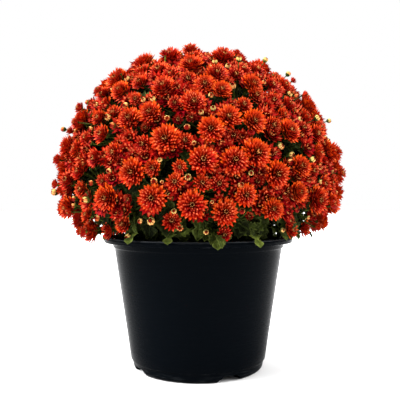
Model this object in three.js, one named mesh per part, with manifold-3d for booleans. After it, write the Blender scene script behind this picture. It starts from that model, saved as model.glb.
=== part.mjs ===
// Pot chrysanthemum in bloom: a plain mum pan filled with soil, leafy stems that rise from
// the soil and branch, and a dome of bloom sprays, each spray standing on one branch.
// Millimetres, +Z up, the pan's axis on Z and its foot at z = 0. The front is towards -Y.

import * as THREE from 'three';
import { mergeVertices } from 'three/addons/utils/BufferGeometryUtils.js';
import Module from 'manifold-3d';

const wasm = await Module();
wasm.setup();

// ---- Driving dimensions ----

const TOUCH_GAP = 0.3;

// The pan: a 10 inch squat pot in one moulding.
const RIM_RADIUS = 127;
const POT_HEIGHT = 175;
const POT_SIDES = 32;
const WALL = 1.8;
const FLOOR = 2.5;
const FOOT_RADIUS = 87.6;
const FOOT_HEIGHT = 12.5;
const LEDGE = 1.5;
const NECK_RADIUS = 113.2;
const NECK_Z = 160.5;
const NECK_STEP = 2;
const FLANGE_THICKNESS = 7;
const DRAINS = 4;
const DRAIN_PHASE = THREE.MathUtils.degToRad(28);
const DRAIN_ARCH_HEIGHT = 7.2;
const DRAIN_ARCH_HALF = 17;
const DRAIN_ARCH_START = 68;
const DRAIN_SHOULDER = [DRAIN_ARCH_HALF - 4, 5.4];
const DRAIN_HOLE_RADIUS = 4.5;
const DRAIN_HOLE_OUT = 76;

// The soil.
const SOIL_Z = 158;
const SOIL_MOUND = 3;
const SOIL_GAP = 0.4;

// The dome that the bloom centres lie on: one half ellipsoid over another, on one waist.
const DOME_RADIUS = 187;
const DOME_WAIST_Z = 240;
const DOME_RISE = 182;
const DOME_DROP = 95;
const DOME_LOW_Z = 184;

// Branching, seen from the crown point inside the dome.
const CROWN = new THREE.Vector3(0, 0, 195);
const FORK_DISTANCE = 50;
const SPRAY_COUNT = 48;
const SPRAY_DEPTH = 48;
const STEM_RADIUS = 4;
const STEM_SIDES = 6;
const STEM_FOOT_Z = 120;
const STEM_BEND_Z = 164;
const STEM_SPREAD = 0.8;
const BRANCH_RADIUS = 2.2;

// Blooms. Depth is how far under the dome a class of bloom sits, low and high bound its
// radius, and lean bounds its tilt to each side.
const LARGE = {
  count: 125, petals: 5, layers: 2, depth: 0, low: 15, high: 17.5, spacing: 1.12, lean: 0.14,
};
const MEDIUM = {
  count: 140, petals: 5, layers: 1, depth: 5, low: 10.5, high: 13.5, spacing: 0.88, lean: 0.25,
};
const SMALL = {
  count: 38, petals: 4, layers: 1, depth: 10, low: 6.5, high: 8.5, spacing: 0.8, lean: 0.25,
};
const BUD = {
  count: 18, petals: 0, layers: 0, depth: 7, low: 3.8, high: 4.6, spacing: 0.85, lean: 0.25,
};
const DARTS = 9000;
const PETAL_GAP = 0.25;
const STALK_CLEARANCE = 2.1;
const NEAR_HEADS = 2.2;
const LEAST_SHARE = 0.15;
const SEEN_SQUARELY = 0.55;

// Leaves.
const LEAF_LENGTH = 36;
const LEAF_THICKNESS = 1.2;
const SKIRT_LEAVES = 16;

// The front viewer, for the blooms placed as seen from there: distance from the pot's axis,
// eye height, and the field in 400ths, with its scale per unit of slope.
const VIEW_DISTANCE = 786;
const VIEW_HEIGHT = 219;
const VIEW_SCALE = 575;
const VIEW_ACROSS = 198.2;
const VIEW_DOWN = 204;

// Blooms on the side towards that viewer: across, down and diameter in 400ths of the field.
const SEEN_LARGE = [
  [132, 172, 32], [165, 139, 33], [203, 160, 33], [235, 160, 31], [211, 129, 30], [257, 153, 34],
  [277, 174, 31], [192, 205, 32], [225, 212, 30], [152, 198, 31], [106, 198, 29], [318, 200, 30],
  [301, 166, 26], [273, 209, 25], [246, 195, 25], [299, 192, 23], [129, 118, 27], [150, 112, 26],
  [163, 86, 27], [120, 90, 23], [194, 102, 28], [191, 64, 27], [229, 117, 28], [253, 84, 25],
  [254, 121, 28], [222, 90, 23], [290, 131, 28], [205, 84, 24], [217, 73, 24],
];
const SEEN_MEDIUM = [
  [114, 152, 22], [95, 158, 22], [79, 171, 22], [68, 180, 24], [102, 134, 22], [143, 144, 22],
  [185, 141, 20], [153, 168, 20], [180, 167, 17], [175, 182, 21], [202, 183, 20], [219, 184, 21],
  [172, 221, 21], [123, 224, 21], [224, 234, 18], [87, 215, 18], [103, 181, 16], [86, 138, 18],
  [338, 177, 18], [318, 152, 20], [105, 104, 18], [140, 82, 19], [188, 79, 19], [159, 70, 23],
  [136, 99, 16], [175, 103, 17], [220, 56, 20], [243, 70, 20], [257, 70, 18], [256, 95, 20],
  [244, 105, 20], [273, 100, 19], [289, 104, 19], [283, 115, 18], [305, 117, 20], [321, 129, 20],
  [272, 85, 18], [273, 125, 21], [190, 49, 18],
];
const SEEN_SMALL = [
  [205, 147, 14], [233, 136, 16], [275, 154, 15], [257, 181, 16], [289, 220, 14], [311, 215, 16],
  [84, 232, 12], [57, 160, 12], [55, 183, 10], [129, 199, 11], [249, 216, 10], [316, 227, 10],
  [334, 206, 14], [286, 85, 15], [306, 97, 12], [178, 120, 12], [192, 118, 13], [146, 128, 13],
  [126, 131, 12], [80, 108, 13], [97, 92, 11], [78, 121, 13], [91, 106, 11], [173, 71, 12],
  [165, 54, 11], [239, 59, 11], [70, 131, 11], [119, 73, 10], [98, 114, 10],
];
const SEEN_BUD = [
  [188, 177, 8], [170, 196, 7], [206, 232, 6], [242, 211, 7], [281, 146, 8], [292, 155, 7],
  [128, 237, 8], [276, 75, 7], [313, 108, 7], [187, 127, 7],
];

// ---- Small tools ----

// Seeded draw between 0 and 1.
let seed = 20417;
function draw() {
  seed = (seed * 1664525 + 1013904223) % 4294967296;
  return seed / 4294967296;
}

function between(low, high) {
  return low + (high - low) * draw();
}

const UP = new THREE.Vector3(0, 0, 1);

// Unit direction at an azimuth and an elevation in radians.
function direction(azimuth, elevation) {
  const flat = Math.cos(elevation);
  return new THREE.Vector3(
    flat * Math.cos(azimuth), flat * Math.sin(azimuth), Math.sin(elevation));
}

// Two unit vectors across an axis, turned by an angle.
function across(axis, turn = 0) {
  const helper = Math.abs(axis.z) < 0.9 ? UP : new THREE.Vector3(0, 1, 0);
  const u = new THREE.Vector3().crossVectors(helper, axis).normalize();
  u.applyAxisAngle(axis, turn);
  return [u, new THREE.Vector3().crossVectors(axis, u)];
}

// Two unit vectors across an axis, the first as near to a side as it can be.
function acrossBy(axis, side) {
  const u = side.clone().addScaledVector(axis, -side.dot(axis)).normalize();
  return [u, new THREE.Vector3().crossVectors(axis, u)];
}

// The point at (a, b, c) in the frame of two cross vectors and an axis at a centre.
function place(centre, [u, v], axis, a, b, c) {
  return centre.clone().addScaledVector(u, a).addScaledVector(v, b).addScaledVector(axis, c);
}

// One ring of points around an axis.
function ring(centre, frame, axis, radius, sides, height = 0) {
  return Array.from({ length: sides }, (_, i) => {
    const angle = (2 * Math.PI * i) / sides;
    return place(centre, frame, axis, radius * Math.cos(angle), radius * Math.sin(angle), height);
  });
}

// ---- Solids ----

// A closed solid from points and faces, turned to face out.
function solid(points, faces) {
  const make = (triangles) => new wasm.Manifold(new wasm.Mesh({
    numProp: 3,
    vertProperties: new Float32Array(points.flatMap((p) => [p.x, p.y, p.z])),
    triVerts: new Uint32Array(triangles.flat()),
  }));
  const body = make(faces);
  return body.volume() > 0 ? body : make(faces.map(([a, b, c]) => [a, c, b]));
}

// A closed solid from a geometry: only positions are kept, and slivers at an axis go.
function solidOf(geometry) {
  geometry.deleteAttribute('normal');
  geometry.deleteAttribute('uv');
  const merged = mergeVertices(geometry, 1e-4);
  const at = merged.attributes.position;
  const points = Array.from({ length: at.count }, (_, i) =>
    new THREE.Vector3().fromBufferAttribute(at, i));
  const faces = [];
  for (let i = 0; i < merged.index.count; i += 3) {
    const face = [0, 1, 2].map((k) => merged.index.getX(i + k));
    if (new Set(face).size === 3) faces.push(face);
  }
  return solid(points, faces);
}

// A named, coloured mesh from a solid.
function meshOf(name, body, look) {
  const made = body.getMesh();
  const geometry = new THREE.BufferGeometry();
  geometry.setAttribute('position', new THREE.Float32BufferAttribute(made.vertProperties, 3));
  geometry.setIndex(new THREE.BufferAttribute(new Uint32Array(made.triVerts), 1));
  const mesh = new THREE.Mesh(geometry, new THREE.MeshStandardMaterial(look));
  mesh.name = name;
  return mesh;
}

// Faces between two closed rings that turn the same way and may differ in count.
function stitch(first, second) {
  const faces = [];
  let i = 0;
  let j = 0;
  while (i < first.length || j < second.length) {
    const a = first[i % first.length];
    const b = second[j % second.length];
    if (j === second.length || (i < first.length && i * second.length <= j * first.length)) {
      faces.push([a, first[(i + 1) % first.length], b]);
      i += 1;
    } else {
      faces.push([a, second[(j + 1) % second.length], b]);
      j += 1;
    }
  }
  return faces;
}

// A second ring of corners, started at the corner that brings it nearest to a first ring.
function aligned(points, first, second) {
  const turned = (turn) => second.map((_, i) => second[(i + turn) % second.length]);
  const miss = (row) => row.reduce((sum, corner, i) =>
    sum + points[corner].distanceTo(points[first[i]]), 0);
  return second.map((_, turn) => turned(turn))
    .reduce((best, row) => (miss(row) < miss(best) ? row : best));
}

// Whether an edge runs through a face that has neither of its ends for a corner.
function pierces(points, [from, to], face) {
  if (face.includes(from) || face.includes(to)) return false;
  const arm = points[to].clone().sub(points[from]);
  const length = arm.length();
  const ray = new THREE.Ray(points[from], arm.divideScalar(length));
  const hit = ray.intersectTriangle(
    ...face.map((corner) => points[corner]), false, new THREE.Vector3());
  return hit !== null && hit.distanceTo(points[from]) < length;
}

// Whether any face of one list crosses a face of another.
function crosses(points, list, others) {
  const edges = ([a, b, c]) => [[a, b], [b, c], [c, a]];
  return list.some((face) => others.some((other) =>
    edges(face).some((edge) => pierces(points, edge, other))
    || edges(other).some((edge) => pierces(points, edge, face))));
}

// The faces that close a ring of corners, on the side its corners turn clockwise.
function closing(row) {
  return row.slice(2).map((corner, i) => [row[0], corner, row[i + 1]]);
}

// ---- The dome ----

// The radius of the dome at a height, for a class that sits some depth under it.
function domeRadius(z, depth) {
  const reach = z > DOME_WAIST_Z ? DOME_RISE - depth : DOME_DROP - depth;
  const share = (z - DOME_WAIST_Z) / reach;
  return (DOME_RADIUS - depth) * Math.sqrt(Math.max(0, 1 - share * share));
}

// How far the dome is from the crown point in a direction.
function domeDistance(way) {
  const hit = (reach) => {
    const a = (way.x * way.x + way.y * way.y) / DOME_RADIUS ** 2 + way.z ** 2 / reach ** 2;
    const rise = CROWN.z - DOME_WAIST_Z;
    const b = (way.z * rise) / reach ** 2;
    const c = rise ** 2 / reach ** 2 - 1;
    return (-b + Math.sqrt(b * b - a * c)) / a;
  };
  const over = hit(DOME_RISE);
  return CROWN.z + over * way.z > DOME_WAIST_Z ? over : hit(DOME_DROP);
}

// Where the front viewer's line of sight meets the dome, or passes nearest to it.
function seenPoint(acrossField, downField, depth) {
  const way = new THREE.Vector3(
    (acrossField - VIEW_ACROSS) / VIEW_SCALE, 1, (VIEW_DOWN - downField) / VIEW_SCALE);
  const eye = new THREE.Vector3(0, -VIEW_DISTANCE, VIEW_HEIGHT);
  const meet = (reach) => {
    const squash = (v) => new THREE.Vector3(v.x, v.y, (v.z * (DOME_RADIUS - depth)) / reach);
    const d = squash(way);
    const o = squash(eye.clone().sub(new THREE.Vector3(0, 0, DOME_WAIST_Z)));
    const b = o.dot(d) / d.lengthSq();
    const c = (o.lengthSq() - (DOME_RADIUS - depth) ** 2) / d.lengthSq();
    return -b - Math.sqrt(Math.max(0, b * b - c));
  };
  const point = eye.clone().addScaledVector(way, meet(DOME_RISE - depth));
  if (point.z < DOME_WAIST_Z) {
    return eye.clone().addScaledVector(way, meet(DOME_DROP - depth));
  }
  return point;
}

// ---- Where the branches go ----

const GOLDEN_ANGLE = Math.PI * (3 - Math.sqrt(5));
const sprays = Array.from({ length: SPRAY_COUNT }, (_, i) => {
  const top = DOME_WAIST_Z + DOME_RISE;
  const z = top - ((i + 0.5) / SPRAY_COUNT) * (top - DOME_LOW_Z);
  const radius = domeRadius(z, 0);
  const spot = new THREE.Vector3(
    radius * Math.cos(i * GOLDEN_ANGLE), radius * Math.sin(i * GOLDEN_ANGLE), z);
  const way = spot.sub(CROWN).normalize();
  const hub = CROWN.clone().addScaledVector(way, domeDistance(way) - SPRAY_DEPTH);
  return { way, hub, items: [] };
});

const LOW_STEMS = 5;
const MIDDLE_STEMS = 3;
const stemWays = [
  direction(0, Math.PI / 2),
  ...Array.from({ length: MIDDLE_STEMS }, (_, i) =>
    direction((2 * Math.PI * (i + 0.2)) / MIDDLE_STEMS, THREE.MathUtils.degToRad(48))),
  ...Array.from({ length: LOW_STEMS }, (_, i) =>
    direction((2 * Math.PI * (i + 0.75)) / LOW_STEMS, THREE.MathUtils.degToRad(8))),
];

function nearest(ways, way) {
  let best = 0;
  ways.forEach((other, i) => {
    if (other.dot(way) > ways[best].dot(way)) best = i;
  });
  return best;
}

// ---- Where the blooms go ----

const FACING_CENTRE = new THREE.Vector3(0, 0, 190);
const FACING_RISE = 0.5;
const blooms = [];

// The way from the facing centre to a spot on the dome.
function outward(centre) {
  return centre.clone().sub(FACING_CENTRE).normalize();
}

function addBloom(kind, centre, radius) {
  const facing = outward(centre);
  facing.setZ(facing.z * FACING_RISE).normalize();
  const [u, v] = across(facing);
  facing.addScaledVector(u, between(-kind.lean, kind.lean));
  facing.addScaledVector(v, between(-kind.lean, kind.lean));
  facing.normalize();
  const spray = nearest(sprays.map((s) => s.way), centre.clone().sub(CROWN).normalize());
  blooms.push({ kind, centre, radius, facing, spray, spin: between(0, 2 * Math.PI) });
}

function addSeen(kind, list) {
  list.forEach(([acrossField, downField, size]) => {
    const centre = seenPoint(acrossField, downField, kind.depth);
    addBloom(kind, centre, (size / 2 / VIEW_SCALE) * (centre.y + VIEW_DISTANCE));
  });
}

// Whether a spot faces the viewer squarely, where every bloom is already in the lists.
function isSeen(centre) {
  const eye = new THREE.Vector3(0, -VIEW_DISTANCE, VIEW_HEIGHT);
  return outward(centre).dot(eye.sub(centre).normalize()) > SEEN_SQUARELY;
}

function addDarts(kind) {
  const wanted = kind.count - blooms.filter((b) => b.kind === kind).length;
  let added = 0;
  for (let i = 0; i < DARTS && added < wanted; i += 1) {
    const azimuth = between(0, 2 * Math.PI);
    const z = between(DOME_LOW_Z, DOME_WAIST_Z + DOME_RISE - kind.depth);
    const radius = between(kind.low, kind.high);
    const out = domeRadius(z, kind.depth);
    const centre = new THREE.Vector3(out * Math.cos(azimuth), out * Math.sin(azimuth), z);
    const free = blooms.every((b) =>
      b.centre.distanceTo(centre) > kind.spacing * (b.radius + radius));
    if (free && !isSeen(centre)) {
      addBloom(kind, centre, radius);
      added += 1;
    }
  }
}

addSeen(LARGE, SEEN_LARGE);
addSeen(MEDIUM, SEEN_MEDIUM);
addSeen(SMALL, SEEN_SMALL);
addSeen(BUD, SEEN_BUD);
addDarts(LARGE);
addDarts(MEDIUM);
addDarts(SMALL);
addDarts(BUD);

// ---- Blooms ----

// The point of a bloom's stalk nearest to a spot.
function stalkPoint({ centre, spray }, spot) {
  return new THREE.Line3(centre, sprays[spray].hub)
    .closestPointToPoint(spot, true, new THREE.Vector3());
}

// The flat limits that keep one head clear of its neighbours: one towards each near head,
// shared out by their radii, and one towards each other stalk.
function limitsOf(bloom) {
  const limits = [];
  blooms.forEach((other) => {
    if (other === bloom) return;
    const apart = other.centre.clone().sub(bloom.centre);
    const distance = apart.length();
    if (distance < NEAR_HEADS * (bloom.radius + other.radius)) {
      const share = (distance * bloom.radius) / (bloom.radius + other.radius) - PETAL_GAP;
      limits.push({ way: apart.divideScalar(distance), reach: share });
    }
    const towards = stalkPoint(other, bloom.centre).sub(bloom.centre);
    const gap = towards.length();
    limits.push({ way: towards.divideScalar(gap), reach: gap - STALK_CLEARANCE });
  });
  return limits;
}

// A point of a head, drawn in towards the head's centre until it is inside every limit.
function drawIn(point, centre, limits) {
  const arm = point.sub(centre);
  let share = 1;
  limits.forEach(({ way, reach }) => {
    const run = arm.dot(way);
    if (run * share > reach) share = Math.max(LEAST_SHARE, reach / run);
  });
  return centre.clone().addScaledVector(arm, share);
}

// Heights and radii of a head as shares of its radius.
const TIP_HEIGHT = 0.12;
const VALLEY_RADIUS = 0.84;
const VALLEY_HEIGHT = 0.12;
const INNER_RADIUS = 0.56;
const INNER_HEIGHT = 0.34;
const EYE_HEIGHT = 0.04;
const CALYX_RADIUS = 0.16;
const CALYX_DEPTH = 0.36;
const BUD_DEPTH = 0.9;

// The knots where stalks and branches meet. A foot's radius is a share of the knot's.
const SPRAY_KNOT = { high: 27, wide: 43, below: 6, under: BRANCH_RADIUS };
const KNOT_ROOM = 0.85;
const FORK_KNOT = { high: 9, wide: 9, below: 6, under: STEM_RADIUS, isStem: true };
const STALK_RADIUS = 1.4;
const FOOT_SHARE = 0.07;
const FOOT_ANGLE = THREE.MathUtils.degToRad(12);
const SPREAD_ROUNDS = 60;
const SPREAD_PUSH = 0.6;

// An open bloom's points and faces, down to its rim. Petal tips and the notches between
// them go round the rim; a second layer of tips stands over the notches of a large bloom.
function openHead(bloom) {
  const { kind, centre, radius, facing, spin } = bloom;
  const frame = across(facing, spin);
  const limits = limitsOf(bloom);
  const at = (share, angle, height) => drawIn(
    place(centre, frame, facing, share * radius * Math.cos(angle),
      share * radius * Math.sin(angle), height * radius), centre, limits);
  const step = (2 * Math.PI) / kind.petals;
  const points = [at(0, 0, EYE_HEIGHT)];
  const rim = [];
  const inner = [];
  for (let i = 0; i < kind.petals; i += 1) {
    rim.push(points.push(at(1, i * step, TIP_HEIGHT)) - 1);
    rim.push(points.push(at(VALLEY_RADIUS, (i + 0.5) * step, VALLEY_HEIGHT)) - 1);
    if (kind.layers === 2) {
      inner.push(points.push(at(INNER_RADIUS, (i + 0.5) * step, INNER_HEIGHT)) - 1);
    }
  }
  const faces = [];
  for (let i = 0; i < kind.petals; i += 1) {
    const tip = rim[2 * i];
    const notch = rim[2 * i + 1];
    const next = rim[(2 * i + 2) % rim.length];
    if (kind.layers === 2) {
      const raised = inner[i];
      faces.push([0, tip, raised], [0, raised, next], [tip, notch, raised], [notch, next, raised]);
    } else {
      faces.push([0, tip, notch], [0, notch, next]);
    }
  }
  return { points, faces, rim };
}

// A closed bud's points and faces, down to its rim: a pointed top over four sides.
function budHead({ centre, radius, facing, spin }) {
  const frame = across(facing, spin);
  const points = [place(centre, frame, facing, 0, 0, radius)];
  const rim = ring(centre, frame, facing, radius, 4).map((point) => points.push(point) - 1);
  const faces = rim.map((corner, i) => [0, corner, rim[(i + 1) % 4]]);
  return { points, faces, rim };
}

// Faces of the hull of a few points: each three that have all the others behind them.
function hullFaces(points) {
  const faces = [];
  const plane = new THREE.Plane();
  for (let i = 0; i < points.length; i += 1) {
    for (let j = i + 1; j < points.length; j += 1) {
      for (let k = j + 1; k < points.length; k += 1) {
        plane.setFromCoplanarPoints(points[i], points[j], points[k]);
        const sides = points.map((point, n) =>
          (n === i || n === j || n === k ? 0 : Math.sign(plane.distanceToPoint(point))));
        if (!sides.includes(1)) faces.push([i, j, k]);
        if (!sides.includes(-1)) faces.push([i, k, j]);
      }
    }
  }
  return faces;
}

// A knot where limbs meet: the hull of three points round its underside and of the feet of
// its limbs, three points each, on an egg that is high along its axis and wide across it.
// The faces of the feet are left open for the limbs, and so is the base where a stem comes
// in. A limb has a way and a side that its foot keeps.
function knot(centre, axis, { high, wide, below, under, isStem }, limbs) {
  const points = ring(centre, across(axis), axis, under, 3, -below);
  const onEgg = (way) => {
    const along = way.dot(axis);
    return way.clone().addScaledVector(axis, -along).multiplyScalar(wide)
      .addScaledVector(axis, along * high).add(centre);
  };
  const feet = limbs.map(({ way, side }) =>
    ring(new THREE.Vector3(), acrossBy(way, side), way, FOOT_SHARE, 3, 1)
      .map((point) => points.push(onEgg(point.normalize())) - 1));
  const base = [0, 1, 2];
  const isOpen = (face) => [...feet, ...(isStem ? [base] : [])].some((foot) =>
    face.every((corner) => foot.includes(corner)));
  return { points, base, feet, faces: hullFaces(points).filter((face) => !isOpen(face)) };
}

// Unit directions, pushed apart until each pair is at least the foot angle apart.
function spreadApart(ways) {
  for (let round = 0; round < SPREAD_ROUNDS; round += 1) {
    ways.forEach((way, i) => ways.slice(i + 1).forEach((other) => {
      const lack = FOOT_ANGLE - way.angleTo(other);
      if (lack <= 0) return;
      const push = way.clone().sub(other).setLength(lack * SPREAD_PUSH);
      way.add(push).normalize();
      other.sub(push).normalize();
    }));
  }
  return ways;
}

// A head with its calyx: points, faces and the three corners where its stalk comes in. The
// calyx is bent halfway from the head towards the way the stalk comes.
function headWithCalyx(bloom) {
  const { points, faces, rim } = bloom.kind === BUD ? budHead(bloom) : openHead(bloom);
  const { kind, centre, radius, facing, spin, spray } = bloom;
  const calyxRadius = Math.max(STALK_RADIUS, CALYX_RADIUS * radius);
  const depth = (kind === BUD ? BUD_DEPTH : CALYX_DEPTH) * radius;
  const base = centre.clone().addScaledVector(facing, -depth);
  const axis = base.clone().sub(sprays[spray].hub).normalize().add(facing).normalize();
  const calyx = ring(base, acrossBy(axis, across(facing, spin)[0]), axis, calyxRadius, 3)
    .map((point) => points.push(point) - 1);
  return { points, faces: [...faces, ...stitch(calyx, rim)], calyx };
}

// The egg of a spray's knot, made smaller where a head hangs so low that it would meet it.
function eggUnder(heads, { way, hub }) {
  const { high, wide, ...under } = SPRAY_KNOT;
  const room = heads.flatMap(({ points }) => points.map((point) => {
    const arm = point.clone().sub(hub);
    const along = arm.dot(way);
    return Math.hypot(along / high, arm.addScaledVector(way, -along).length() / wide);
  }));
  const share = Math.min(1, KNOT_ROOM * Math.min(...room));
  return { high: high * share, wide: wide * share, ...under };
}

// One spray in one closed solid: a knot, and a three-sided stalk from each foot to a calyx
// and on to the underside of a head. The knot is the spray's small core.
function spraySolid(spray, index) {
  const { way, hub } = spray;
  const carried = blooms.filter((bloom) => bloom.spray === index);
  const heads = carried.map(headWithCalyx);
  const ways = spreadApart(carried.map(({ centre }) => centre.clone().sub(hub).normalize()));
  const limbs = carried.map(({ facing, spin }, i) =>
    ({ way: ways[i], side: across(facing, spin)[0] }));
  const { points, feet, faces } = knot(hub, way, eggUnder(heads, spray), limbs);
  heads.forEach((head, i) => {
    const start = points.length;
    const moved = (corner) => corner + start;
    points.push(...head.points);
    faces.push(...head.faces.map((face) => face.map(moved)));
    faces.push(...stitch(feet[i], head.calyx.map(moved)));
  });
  return solid(points, faces);
}

// ---- Leaves ----

// Half outline of a lobed leaf, from stalk to tip: along and across as shares of length.
const LEAF_OUTLINE = [[0.28, 0.36], [0.4, 0.19], [0.58, 0.42], [0.7, 0.2], [0.84, 0.26]];
const LEAF_CENTRE = 0.5;
const LEAF_STALK = 9;
const LEAF_STALK_RADIUS = 1.2;
const LEAF_JOINT = 4;
const SKIRT_RADIUS = 103;
const SKIRT_Z = 184;
const SKIRT_LENGTH = 42;
const SKIRT_SLOPE = -0.1;
const LEAF_DROOP = 0.35;
const LEAF_KEEL = 0.1;
const LEAF_TURN = 0.6;
const LEAF_SHARES = [1, 0.85, 0.7, 0.55, 0.4, 0.25, 0.12];

// Grows a lobed leaf on a three-sided stalk out of one face. The blade runs from a base along
// a way with its upper side towards a normal, droops, and is drawn in towards its middle
// where a point of it isn't free. A leaf that would cross the rest isn't grown, and the
// answer says so.
function growLeaf(points, faces, foot, { base, way, normal, length, isFree }) {
  const side = new THREE.Vector3().crossVectors(way, normal).normalize();
  const up = new THREE.Vector3().crossVectors(side, way).normalize();
  const at = (along, out, lift) => place(base, [way, side], up, along * length, out * length,
    lift - LEAF_DROOP * length * along * along + LEAF_KEEL * length * Math.abs(out));
  const middle = at(LEAF_CENTRE, 0, 0);
  const drawn = (point) => {
    const arm = point.sub(middle);
    const free = LEAF_SHARES.find((share) => isFree(middle.clone().addScaledVector(arm, share)));
    return middle.clone().addScaledVector(arm, free ?? LEAF_SHARES.at(-1));
  };
  const add = (point) => points.push(point) - 1;
  const over = add(at(LEAF_CENTRE, 0, LEAF_THICKNESS / 2));
  const below = add(at(LEAF_CENTRE, 0, -LEAF_THICKNESS / 2));
  const [baseLeft, baseUnder, baseRight] = [[-1, 0], [0, -1.6], [1, 0]].map(([out, lift]) =>
    add(place(base, [way, side], up, 0, out * LEAF_STALK_RADIUS, lift * LEAF_STALK_RADIUS)));
  const right = LEAF_OUTLINE.map(([along, out]) => add(drawn(at(along, out, 0))));
  const tip = add(drawn(at(1, 0, 0)));
  const left = LEAF_OUTLINE.map(([along, out]) => add(drawn(at(along, -out, 0)))).reverse();
  const fan = (centre, loop) => loop.map((a, i) => [centre, a, loop[(i + 1) % loop.length]]);
  const upper = fan(over, [baseLeft, baseRight, ...right, tip, ...left]);
  const lower = fan(below, [baseLeft, baseUnder, baseRight, ...right, tip, ...left]);
  const joint = aligned(points, foot, [baseRight, baseUnder, baseLeft]);
  const leaf = [...upper, ...lower.map(([a, b, c]) => [a, c, b]), ...stitch(foot, joint)];
  const rest = faces.filter((face) => face !== foot);
  if (crosses(points, leaf, [...leaf, ...rest])) return false;
  faces.splice(0, faces.length, ...rest, ...leaf);
  return true;
}

// ---- Stems ----

const LEAF_LEAN = 0.7;
const LEAF_FREE = 0.7;
const LEAVES_AT_JOINT = 2;
const JOINT_ORDER = [0, 3, 1, 4, 2, 5];
const HUB_MARGIN = 9;
const CELL_MARGIN = 1.5;
const LEAF_LOW_Z = 178;

// Whether a point is in one stem's own sector of the dome, and under the spray hubs.
function inSector(stem, point) {
  const arm = point.clone().sub(CROWN);
  const clear = stemWays.every((way, i) => {
    if (i === stem) return true;
    const split = stemWays[stem].clone().sub(way).normalize();
    return arm.dot(split) > CELL_MARGIN;
  });
  const distance = arm.length();
  const limit = domeDistance(arm.divideScalar(distance)) - SPRAY_DEPTH - HUB_MARGIN;
  return clear && distance < limit && point.z > LEAF_LOW_Z;
}

// The rings of a main stem's upright part, in the soil, from a height up to its bend.
function stemRings(way, radius, fromZ) {
  const fork = CROWN.clone().addScaledVector(way, FORK_DISTANCE);
  return [fromZ, STEM_BEND_Z].map((z) => ring(
    new THREE.Vector3(fork.x * STEM_SPREAD, fork.y * STEM_SPREAD, z), across(UP), UP,
    radius, STEM_SIDES));
}

// Rings that carry a branch from its foot past a leaf joint to its flat end under a spray.
function branchRings(fork, spray, way, share) {
  const end = spray.hub.clone().addScaledVector(spray.way, -SPRAY_KNOT.below - TOUCH_GAP);
  const joint = fork.clone().lerp(end, share);
  const frame = acrossBy(way, across(spray.way)[0]);
  return [
    ring(joint, frame, way, BRANCH_RADIUS, 3),
    ring(joint, frame, way, BRANCH_RADIUS, 3, LEAF_JOINT),
    ring(end, across(spray.way), spray.way, BRANCH_RADIUS, 3),
  ];
}

// Grows one branch from its foot, and gives the six faces of its leaf joint.
function growBranch(points, faces, foot, { fork, spray, way }) {
  const share = between(0.3, 0.5);
  const rows = [foot];
  branchRings(fork, spray, way, share).forEach((row, i) => {
    const corners = row.map((point) => points.push(point) - 1);
    rows.push(aligned(points, rows[i], corners));
  });
  const joint = stitch(rows[1], rows[2]);
  faces.push(...stitch(rows[0], rows[1]), ...joint, ...stitch(rows[2], rows[3]), rows[3]);
  return joint;
}

// Grows up to two leaves out of the faces of a branch's joint, inside its stem's sector. They
// come out of opposite sides where they can.
function leafBranch(points, faces, joint, { way, stem, number }) {
  const isFree = (point) => inSector(stem, point);
  const normal = UP.clone().lerp(way, LEAF_TURN);
  let grown = 0;
  JOINT_ORDER.map((turn) => joint[(turn + number) % joint.length]).forEach((face) => {
    if (grown === LEAVES_AT_JOINT) return;
    const out = new THREE.Plane()
      .setFromCoplanarPoints(...face.map((corner) => points[corner])).normal;
    const leafWay = out.addScaledVector(way, LEAF_LEAN).normalize();
    const base = points[face[0]].clone().addScaledVector(leafWay, LEAF_STALK);
    const outer = base.clone().addScaledVector(leafWay, LEAF_LENGTH * LEAF_FREE);
    if (!isFree(base) || !isFree(outer)) return;
    const leaf = { base, way: leafWay, normal, length: LEAF_LENGTH, isFree };
    if (growLeaf(points, faces, face, leaf)) grown += 1;
  });
}

// One leafy stem: a main stem out of the soil, the knot where it forks, its branches with
// their leaves, and the leaves that spread over the rim.
function stemSolid(way, index) {
  const fork = CROWN.clone().addScaledVector(way, FORK_DISTANCE);
  const carried = sprays.filter((spray) => nearest(stemWays, spray.way) === index);
  const skirts = Array.from({ length: SKIRT_LEAVES }, (_, i) =>
    direction((2 * Math.PI * (i + 0.35)) / SKIRT_LEAVES, 0))
    .filter((out) => nearest(stemWays, out) === index)
    .map((out) => ({ out, base: out.clone().multiplyScalar(SKIRT_RADIUS).setZ(SKIRT_Z) }));
  const limbs = [
    ...carried.map((spray) => ({ way: spray.hub.clone().sub(fork).normalize(), side: spray.way })),
    ...skirts.map(({ base }) => ({ way: base.clone().sub(fork).normalize(), side: UP })),
  ];
  spreadApart(limbs.map((limb) => limb.way));
  const { points, base, feet, faces } = knot(fork, way, FORK_KNOT, limbs);
  const joints = carried.map((spray, i) =>
    growBranch(points, faces, feet[i], { fork, spray, way: limbs[i].way }));
  skirts.forEach(({ out, base }, i) => {
    const foot = feet[carried.length + i];
    const leafWay = out.clone().setZ(SKIRT_SLOPE).normalize();
    faces.push(foot);
    growLeaf(points, faces, foot,
      { base, way: leafWay, normal: UP, length: SKIRT_LENGTH, isFree: () => true });
  });
  joints.forEach((joint, i) => {
    leafBranch(points, faces, joint, { way: limbs[i].way, stem: index, number: i });
  });
  const [low, bend] = stemRings(way, STEM_RADIUS, STEM_FOOT_Z).map((row) =>
    row.map((point) => points.push(point) - 1));
  const end = aligned(points, bend.filter((_, i) => i % 2 === 0), base);
  faces.push(...closing(low), ...stitch(low, bend), ...stitch(bend, end));
  return solid(points, faces);
}

// ---- Pot and soil ----

function lathe(profile) {
  const points = profile.map(([r, z]) => new THREE.Vector2(r, z));
  return solidOf(new THREE.LatheGeometry(points, POT_SIDES).rotateX(Math.PI / 2));
}

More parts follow.
